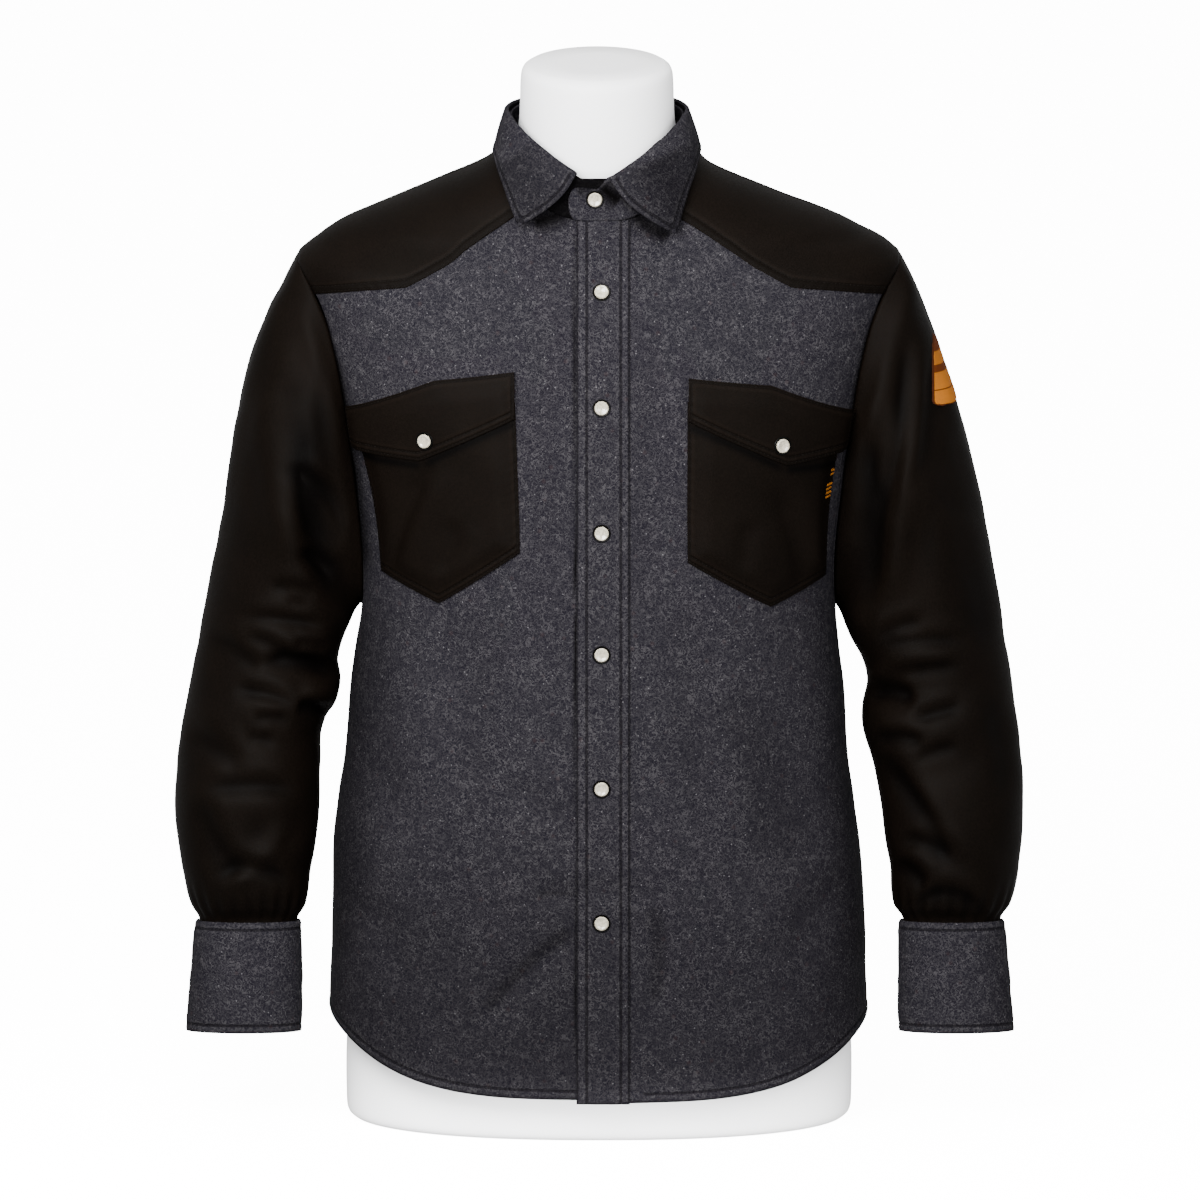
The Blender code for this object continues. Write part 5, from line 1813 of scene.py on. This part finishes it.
def build_cuffs(settings):
    sweep = 360 + 360 * CUFF_LAP / CUFF_GIRTH
    for word, side in SIDES:

        def surface(u, v):
            turned = sweep * u
            step = (CUFF_CLOTH + LAYER) * smooth_step((turned - CUFF_OVER) / CUFF_OVER_SOFT)
            return cuff_point(word, CUFF_START + turned, v, step + CUFF_CLOTH) * (side, 1, 1)

        def lift(laid):
            inner = smooth_step(np.minimum(laid.low, laid.high) / CUFF_STITCH - 0.6)
            return ripple(laid.points, *CUFF_WAVES) + CUFF_SWELL * inner

        settle(f"cuff_{word}", surface, settings, lift, flipped=side < 0)


def build_collar(settings):
    settle("collar_stand", stand_surface, settings, dark=stand_painted_shade)
    settle("collar_fall", fall_surface, settings, lambda laid: ripple(laid.points, *COLLAR_WAVES))


def snap_places():
    """Where each snap sits: its node, the point of the cloth under it and the way it faces."""
    places = []

    def on_cloth(node, piece, across, height):
        laid = LAID[piece]
        off = np.abs(laid.points[..., 0] - across) + np.abs(laid.points[..., 2] - height)
        nearest = np.unravel_index(np.argmin(off), off.shape)
        places.append((node, laid.points[nearest], laid.normals[nearest]))

    for number, height in enumerate(BAND_SNAPS, 1):
        on_cloth(f"snap_band_{number}", "placket", BAND_SNAP_ACROSS, height)
    for word, shape in POCKETS.items():
        on_cloth(f"snap_flap_{word}", f"flap_{word}", shape.side * shape.snap_across, shape.snap_height)
    share = (STAND_SNAP_HEIGHT - NECK_FRONT) / (FOLD_FRONT - ROLL - NECK_FRONT)
    rise = STAND_RISE + 2 * COLLAR_CLOTH + LAYER
    low, point, top = (stand_point(STAND_SNAP_TURN, part, rise) for part in (0.0, share, 1.0))
    places.append(("snap_stand", point, unit(np.cross((1, 0, 0), top - low))))
    for word, side in SIDES:
        for number, share in enumerate(CUFF_SNAPS, 1):
            point = cuff_point(word, CUFF_SNAP_TURN, share, 2 * CUFF_CLOTH + LAYER)
            normal = unit(cuff_point(word, CUFF_SNAP_TURN, share, 2 * CUFF_CLOTH + LAYER + 4) - point)
            places.append((f"snap_cuff_{word}_{number}", point * (side, 1, 1), normal * (side, 1, 1)))
    return places


def turned_profile(bm, profile, steps, matrix):
    """Spins a profile into a closed shape and sets it in place."""
    before = set(bm.verts)
    verts = [bm.verts.new((point.radius * MM, 0, point.rise * MM)) for point in profile]
    edges = [bm.edges.new(pair) for pair in zip(verts, verts[1:])]
    bmesh.ops.spin(
        bm, geom=verts + edges, cent=(0, 0, 0), axis=(0, 0, 1), angle=math.tau, steps=steps, use_merge=True
    )
    made = [vert for vert in bm.verts if vert not in before]
    bmesh.ops.transform(bm, matrix=matrix, verts=made)


def build_snaps(settings):
    places = snap_places()
    for name, profile, kind in (("snap_rings", SNAP_RING, "ring"), ("snap_caps", SNAP_CAP, "pearl")):
        bm = bmesh.new()
        for _, point, normal in places:
            turn = Vector(normal).to_track_quat("Z", "Y").to_matrix().to_4x4()
            turned_profile(bm, profile, SNAP_STEPS, Matrix.Translation(Vector(point) * MM) @ turn)
        bmesh.ops.remove_doubles(bm, verts=bm.verts, dist=1e-6)
        bmesh.ops.recalc_face_normals(bm, faces=bm.faces)
        mesh = mesh_of(bm, name)
        mesh.shade_smooth()
        mesh.set_sharp_from_angle(angle=math.radians(40))
        mesh.materials.append(material(kind, settings))
        made = set_down(name, mesh)
        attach(made, "root")
        if kind == "ring":
            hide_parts(*[node for node, _, _ in places])


def build_label(settings):
    """A plain woven label on the wearer's left upper sleeve."""
    sleeve = LAID["sleeve_left"]
    count = sleeve.points.shape[0] - 1
    upper = slice(sleeve.points.shape[1] // 2, None)

    def rail(column, height):
        points = sleeve.points[column, upper] + LABEL_OFF * sleeve.normals[column, upper]
        return np.array([np.interp(height, points[:, 2], points[:, k]) for k in range(3)])

    last = LABEL_END_TURN / 360 * count
    columns = np.arange(int(count * 0.3), int(last))
    heights = np.linspace(LABEL_LOW, LABEL_HIGH + LABEL_TILT, 9)
    across = [np.maximum.accumulate([rail(column, height)[0] for column in columns]) for height in heights]
    starts, inner = (
        [np.interp(LABEL_FRONT + inset, row, columns) for row in across] for inset in (0, LABEL_CORNER)
    )

    def surface(u, v):
        found = np.empty(u.shape + (3,))
        for index in np.ndindex(u.shape):
            risen = (LABEL_HIGH - LABEL_LOW) * v[index]
            height = LABEL_LOW + LABEL_TILT * (1 - u[index]) + risen
            rounded = 1 - math.sqrt(1 - (1 - min(risen / LABEL_CORNER, 1)) ** 2)
            start, inset = (np.interp(height, heights, edge) for edge in (starts, inner))
            start = start * (1 - rounded) + inset * rounded
            place = start + (last - start) * u[index]
            first, second = rail(int(place), height), rail(int(place) + 1, height)
            found[index] = first + (second - first) * (place - int(place))
        return found

    settle("sleeve_label", surface, settings)


def line_in(piece, line):
    """Points and normals along a line of stitches."""
    laid = LAID[piece]
    points, normals, away = laid.points, laid.normals, getattr(laid, line.edge)
    if line.edge in ("start", "end"):
        points, normals, away = points.swapaxes(0, 1), normals.swapaxes(0, 1), away.T
    last = len(points) - 1
    path, facing = [], []
    for i in range(int(line.first * last), int(line.last * last) + 1):
        order = np.argsort(away[i])
        path.append([np.interp(line.distance, away[i][order], points[i][order, k]) for k in range(3)])
        facing.append([np.interp(line.distance, away[i][order], normals[i][order, k]) for k in range(3)])
    return np.array(path), np.array(facing)


def sew(bm, path, facing, settings):
    """Lays stitches along a line."""
    steps = np.linalg.norm(np.diff(path, axis=0), axis=-1)
    run = np.concatenate([[0], np.cumsum(steps)])
    pitch = (settings.stitch_length + settings.stitch_gap) / MM
    length, thick = settings.stitch_length, settings.thread
    for number in range(int(run[-1] / pitch)):
        at = (number + 0.5) * pitch
        point, ahead, normal = (
            np.array([np.interp(where, run, values[:, k]) for k in range(3)])
            for where, values in ((at, path), (min(at + 1, run[-1]), path), (at, facing))
        )
        tangent = Vector(ahead - point).normalized()
        up = Vector(normal).normalized()
        side = up.cross(tangent).normalized()
        up = tangent.cross(side)
        turn = Matrix((tangent, side, up)).transposed().to_4x4()
        size = Matrix.Diagonal((length / 2, thick / 2, thick / 2, 1))
        bmesh.ops.create_icosphere(
            bm, subdivisions=1, radius=1.0, matrix=Matrix.Translation(Vector(point) * MM) @ turn @ size
        )


def stitched(name, pieces, kind, settings):
    """All the stitches of some pieces, as one mesh."""
    bm = bmesh.new()
    for piece, line in pieces:
        sew(bm, *line_in(piece, line), settings)
    mesh = mesh_of(bm, name)
    mesh.shade_smooth()
    mesh.materials.append(material(kind, settings))
    made = set_down(name, mesh)
    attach(made, "root")


def build_stitches(settings):
    for cloth in ("denim", "twill"):
        named = [name for name in LAID if PIECES[without_side(name)].cloth == cloth]
        pieces = [(name, line) for name in named for line in sewn_on(name)]
        stitched(f"stitches_{cloth}", pieces, f"{cloth}_thread", settings)
    marks = [
        ("pocket_left", StitchLine("end", BAR_START + BAR_PITCH * number, bar.first, bar.last))
        for bar in BAR_STITCHES
        for number in range(bar.count)
    ]
    stitched("bar_stitches", marks, "orange_thread", settings)


def build_form(settings):
    """The dress form, closed at its base and neck."""
    runs = [np.linspace(run.low, run.high, run.count) for run in FORM_RUNS]
    heights = np.concatenate([FORM_FOOT, *runs, FORM_CROWN])
    us = np.linspace(0, 1, 121)
    points = form_surface(*np.meshgrid(us, heights, indexing="ij"))
    flat = np.zeros(points.shape[:2])
    laid = Laid(points, spread(points, True, False), run_along(points, 0), flat, run_along(points, 1), flat)
    made = grid_object("form_skin", laid, material("form", settings), {}, closed=True)
    bm = bmesh.new()
    bm.from_mesh(made.data)
    rims = [edge for edge in bm.edges if edge.is_boundary]
    caps = bmesh.ops.holes_fill(bm, edges=rims, sides=0)["faces"]
    for width in FORM_CAP_INSETS:
        bmesh.ops.inset_region(bm, faces=caps, thickness=width * MM, use_even_offset=True)
    bmesh.ops.recalc_face_normals(bm, faces=bm.faces)
    bm.to_mesh(made.data)
    bm.free()
    made.data.set_sharp_from_angle(angle=math.radians(45))
    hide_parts("dress_form")
    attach(made, "root")


def light(lamp):
    """A rectangular lamp that faces its target."""
    data = bpy.data.lights.new(lamp.name, "AREA")
    data.shape = "RECTANGLE"
    data.size, data.size_y = lamp.size
    data.energy = lamp.power
    data.spread = math.radians(lamp.spread)
    made = set_down(lamp.name, data)
    made.location = lamp.place
    made.rotation_euler = (Vector(lamp.target) - Vector(lamp.place)).to_track_quat("-Z", "Y").to_euler()


def build_stage(settings):
    """Pale floor, soft light and the camera."""
    bm = bmesh.new()
    bmesh.ops.create_grid(bm, x_segments=2, y_segments=2, size=FLOOR_HALF)
    bmesh.ops.translate(bm, verts=bm.verts, vec=(0, 0, -FLOOR_DROP))
    floor = set_down("stage_floor", mesh_of(bm, "stage_floor"))
    floor.data.materials.append(material("floor", settings))
    floor.visible_diffuse = False
    floor.visible_glossy = False
    world = bpy.data.worlds.new("Soft white")
    world.use_nodes = True
    sky = world.node_tree.nodes["Background"]
    sky.inputs["Color"].default_value = (1.0, 1.0, 1.0, 1.0)
    sky.inputs["Strength"].default_value = SKY_STRENGTH
    bpy.context.scene.world = world
    for lamp in LAMPS:
        light(lamp)
    data = bpy.data.cameras.new("Camera")
    data.type = "ORTHO"
    data.ortho_scale = CAMERA_VIEW
    data.clip_end = 60
    camera = set_down("Camera", data)
    tilt = math.radians(CAMERA_TILT)
    back = Vector((0, -math.cos(tilt), math.sin(tilt)))
    camera.location = Vector(CAMERA_CENTRE) + back * CAMERA_AWAY
    camera.rotation_euler = (-back).to_track_quat("-Z", "Y").to_euler()
    bpy.context.scene.camera = camera


# Operators


class PieceOperator:
    """Shared by the operators: builds from the scene's settings."""

    bl_options = {"REGISTER", "UNDO"}
    build = None

    def execute(self, context):
        type(self).build(context.scene.western_shirt)
        return {"FINISHED"}


class SHIRT_OT_fronts(PieceOperator, bpy.types.Operator):
    """Lay the two body fronts"""

    bl_idname = "shirt.fronts"
    bl_label = "Fronts"
    build = staticmethod(build_fronts)


class SHIRT_OT_back(PieceOperator, bpy.types.Operator):
    """Lay the body back"""

    bl_idname = "shirt.back"
    bl_label = "Back"
    build = staticmethod(build_back)


class SHIRT_OT_front_yokes(PieceOperator, bpy.types.Operator):
    """Lay the two front yokes"""

    bl_idname = "shirt.front_yokes"
    bl_label = "Front yokes"
    build = staticmethod(build_front_yokes)


class SHIRT_OT_back_yoke(PieceOperator, bpy.types.Operator):
    """Lay the back yoke"""

    bl_idname = "shirt.back_yoke"
    bl_label = "Back yoke"
    build = staticmethod(build_back_yoke)


class SHIRT_OT_placket(PieceOperator, bpy.types.Operator):
    """Lay the snap band down the front"""

    bl_idname = "shirt.placket"
    bl_label = "Snap band"
    build = staticmethod(build_placket)


class SHIRT_OT_pockets(PieceOperator, bpy.types.Operator):
    """Lay the two chest pockets"""

    bl_idname = "shirt.pockets"
    bl_label = "Pockets"
    build = staticmethod(build_pockets)


class SHIRT_OT_flaps(PieceOperator, bpy.types.Operator):
    """Lay the two pocket flaps"""

    bl_idname = "shirt.flaps"
    bl_label = "Flaps"
    build = staticmethod(build_flaps)


class SHIRT_OT_sleeves(PieceOperator, bpy.types.Operator):
    """Lay the two sleeves with their creases"""

    bl_idname = "shirt.sleeves"
    bl_label = "Sleeves"
    build = staticmethod(build_sleeves)


class SHIRT_OT_cuffs(PieceOperator, bpy.types.Operator):
    """Lay the two cuffs"""

    bl_idname = "shirt.cuffs"
    bl_label = "Cuffs"
    build = staticmethod(build_cuffs)


class SHIRT_OT_collar(PieceOperator, bpy.types.Operator):
    """Lay the collar stand and its fall"""

    bl_idname = "shirt.collar"
    bl_label = "Collar"
    build = staticmethod(build_collar)


class SHIRT_OT_snaps(PieceOperator, bpy.types.Operator):
    """Set every snap's ring and pearl cap"""

    bl_idname = "shirt.snaps"
    bl_label = "Snaps"
    build = staticmethod(build_snaps)


class SHIRT_OT_label(PieceOperator, bpy.types.Operator):
    """Sew the plain label on the sleeve"""

    bl_idname = "shirt.label"
    bl_label = "Label"
    build = staticmethod(build_label)


class SHIRT_OT_stitches(PieceOperator, bpy.types.Operator):
    """Sew the visible stitch lines"""

    bl_idname = "shirt.stitches"
    bl_label = "Stitches"
    build = staticmethod(build_stitches)


class SHIRT_OT_form(PieceOperator, bpy.types.Operator):
    """Make the dress form"""

    bl_idname = "shirt.form"
    bl_label = "Dress form"
    build = staticmethod(build_form)


class SHIRT_OT_stage(PieceOperator, bpy.types.Operator):
    """Make the floor, lights and camera"""

    bl_idname = "shirt.stage"
    bl_label = "Stage"
    build = staticmethod(build_stage)


OPERATORS = (
    SHIRT_OT_form,
    SHIRT_OT_fronts,
    SHIRT_OT_back,
    SHIRT_OT_front_yokes,
    SHIRT_OT_back_yoke,
    SHIRT_OT_placket,
    SHIRT_OT_pockets,
    SHIRT_OT_flaps,
    SHIRT_OT_sleeves,
    SHIRT_OT_cuffs,
    SHIRT_OT_collar,
    SHIRT_OT_snaps,
    SHIRT_OT_label,
    SHIRT_OT_stitches,
    SHIRT_OT_stage,
)


class SHIRT_PT_panel(bpy.types.Panel):
    """The shirt's settings and pieces."""

    bl_idname = "SHIRT_PT_panel"
    bl_label = "Western snap shirt"
    bl_space_type = "VIEW_3D"
    bl_region_type = "UI"
    bl_category = "Shirt"

    def draw(self, context):
        for name in ShirtSettings.__annotations__:
            self.layout.prop(context.scene.western_shirt, name)
        for operator in OPERATORS:
            self.layout.operator(operator.bl_idname)


CLASSES = (ShirtSettings, *OPERATORS, SHIRT_PT_panel)


def register():
    for cls in CLASSES:
        bpy.utils.register_class(cls)
    bpy.types.Scene.western_shirt = bpy.props.PointerProperty(type=ShirtSettings)


def unregister():
    del bpy.types.Scene.western_shirt
    for cls in reversed(CLASSES):
        bpy.utils.unregister_class(cls)


def main():
    register()
    for operator in OPERATORS:
        name = operator.bl_idname.split(".")[1]
        getattr(bpy.ops.shirt, name)()


if __name__ == "__main__":
    main()
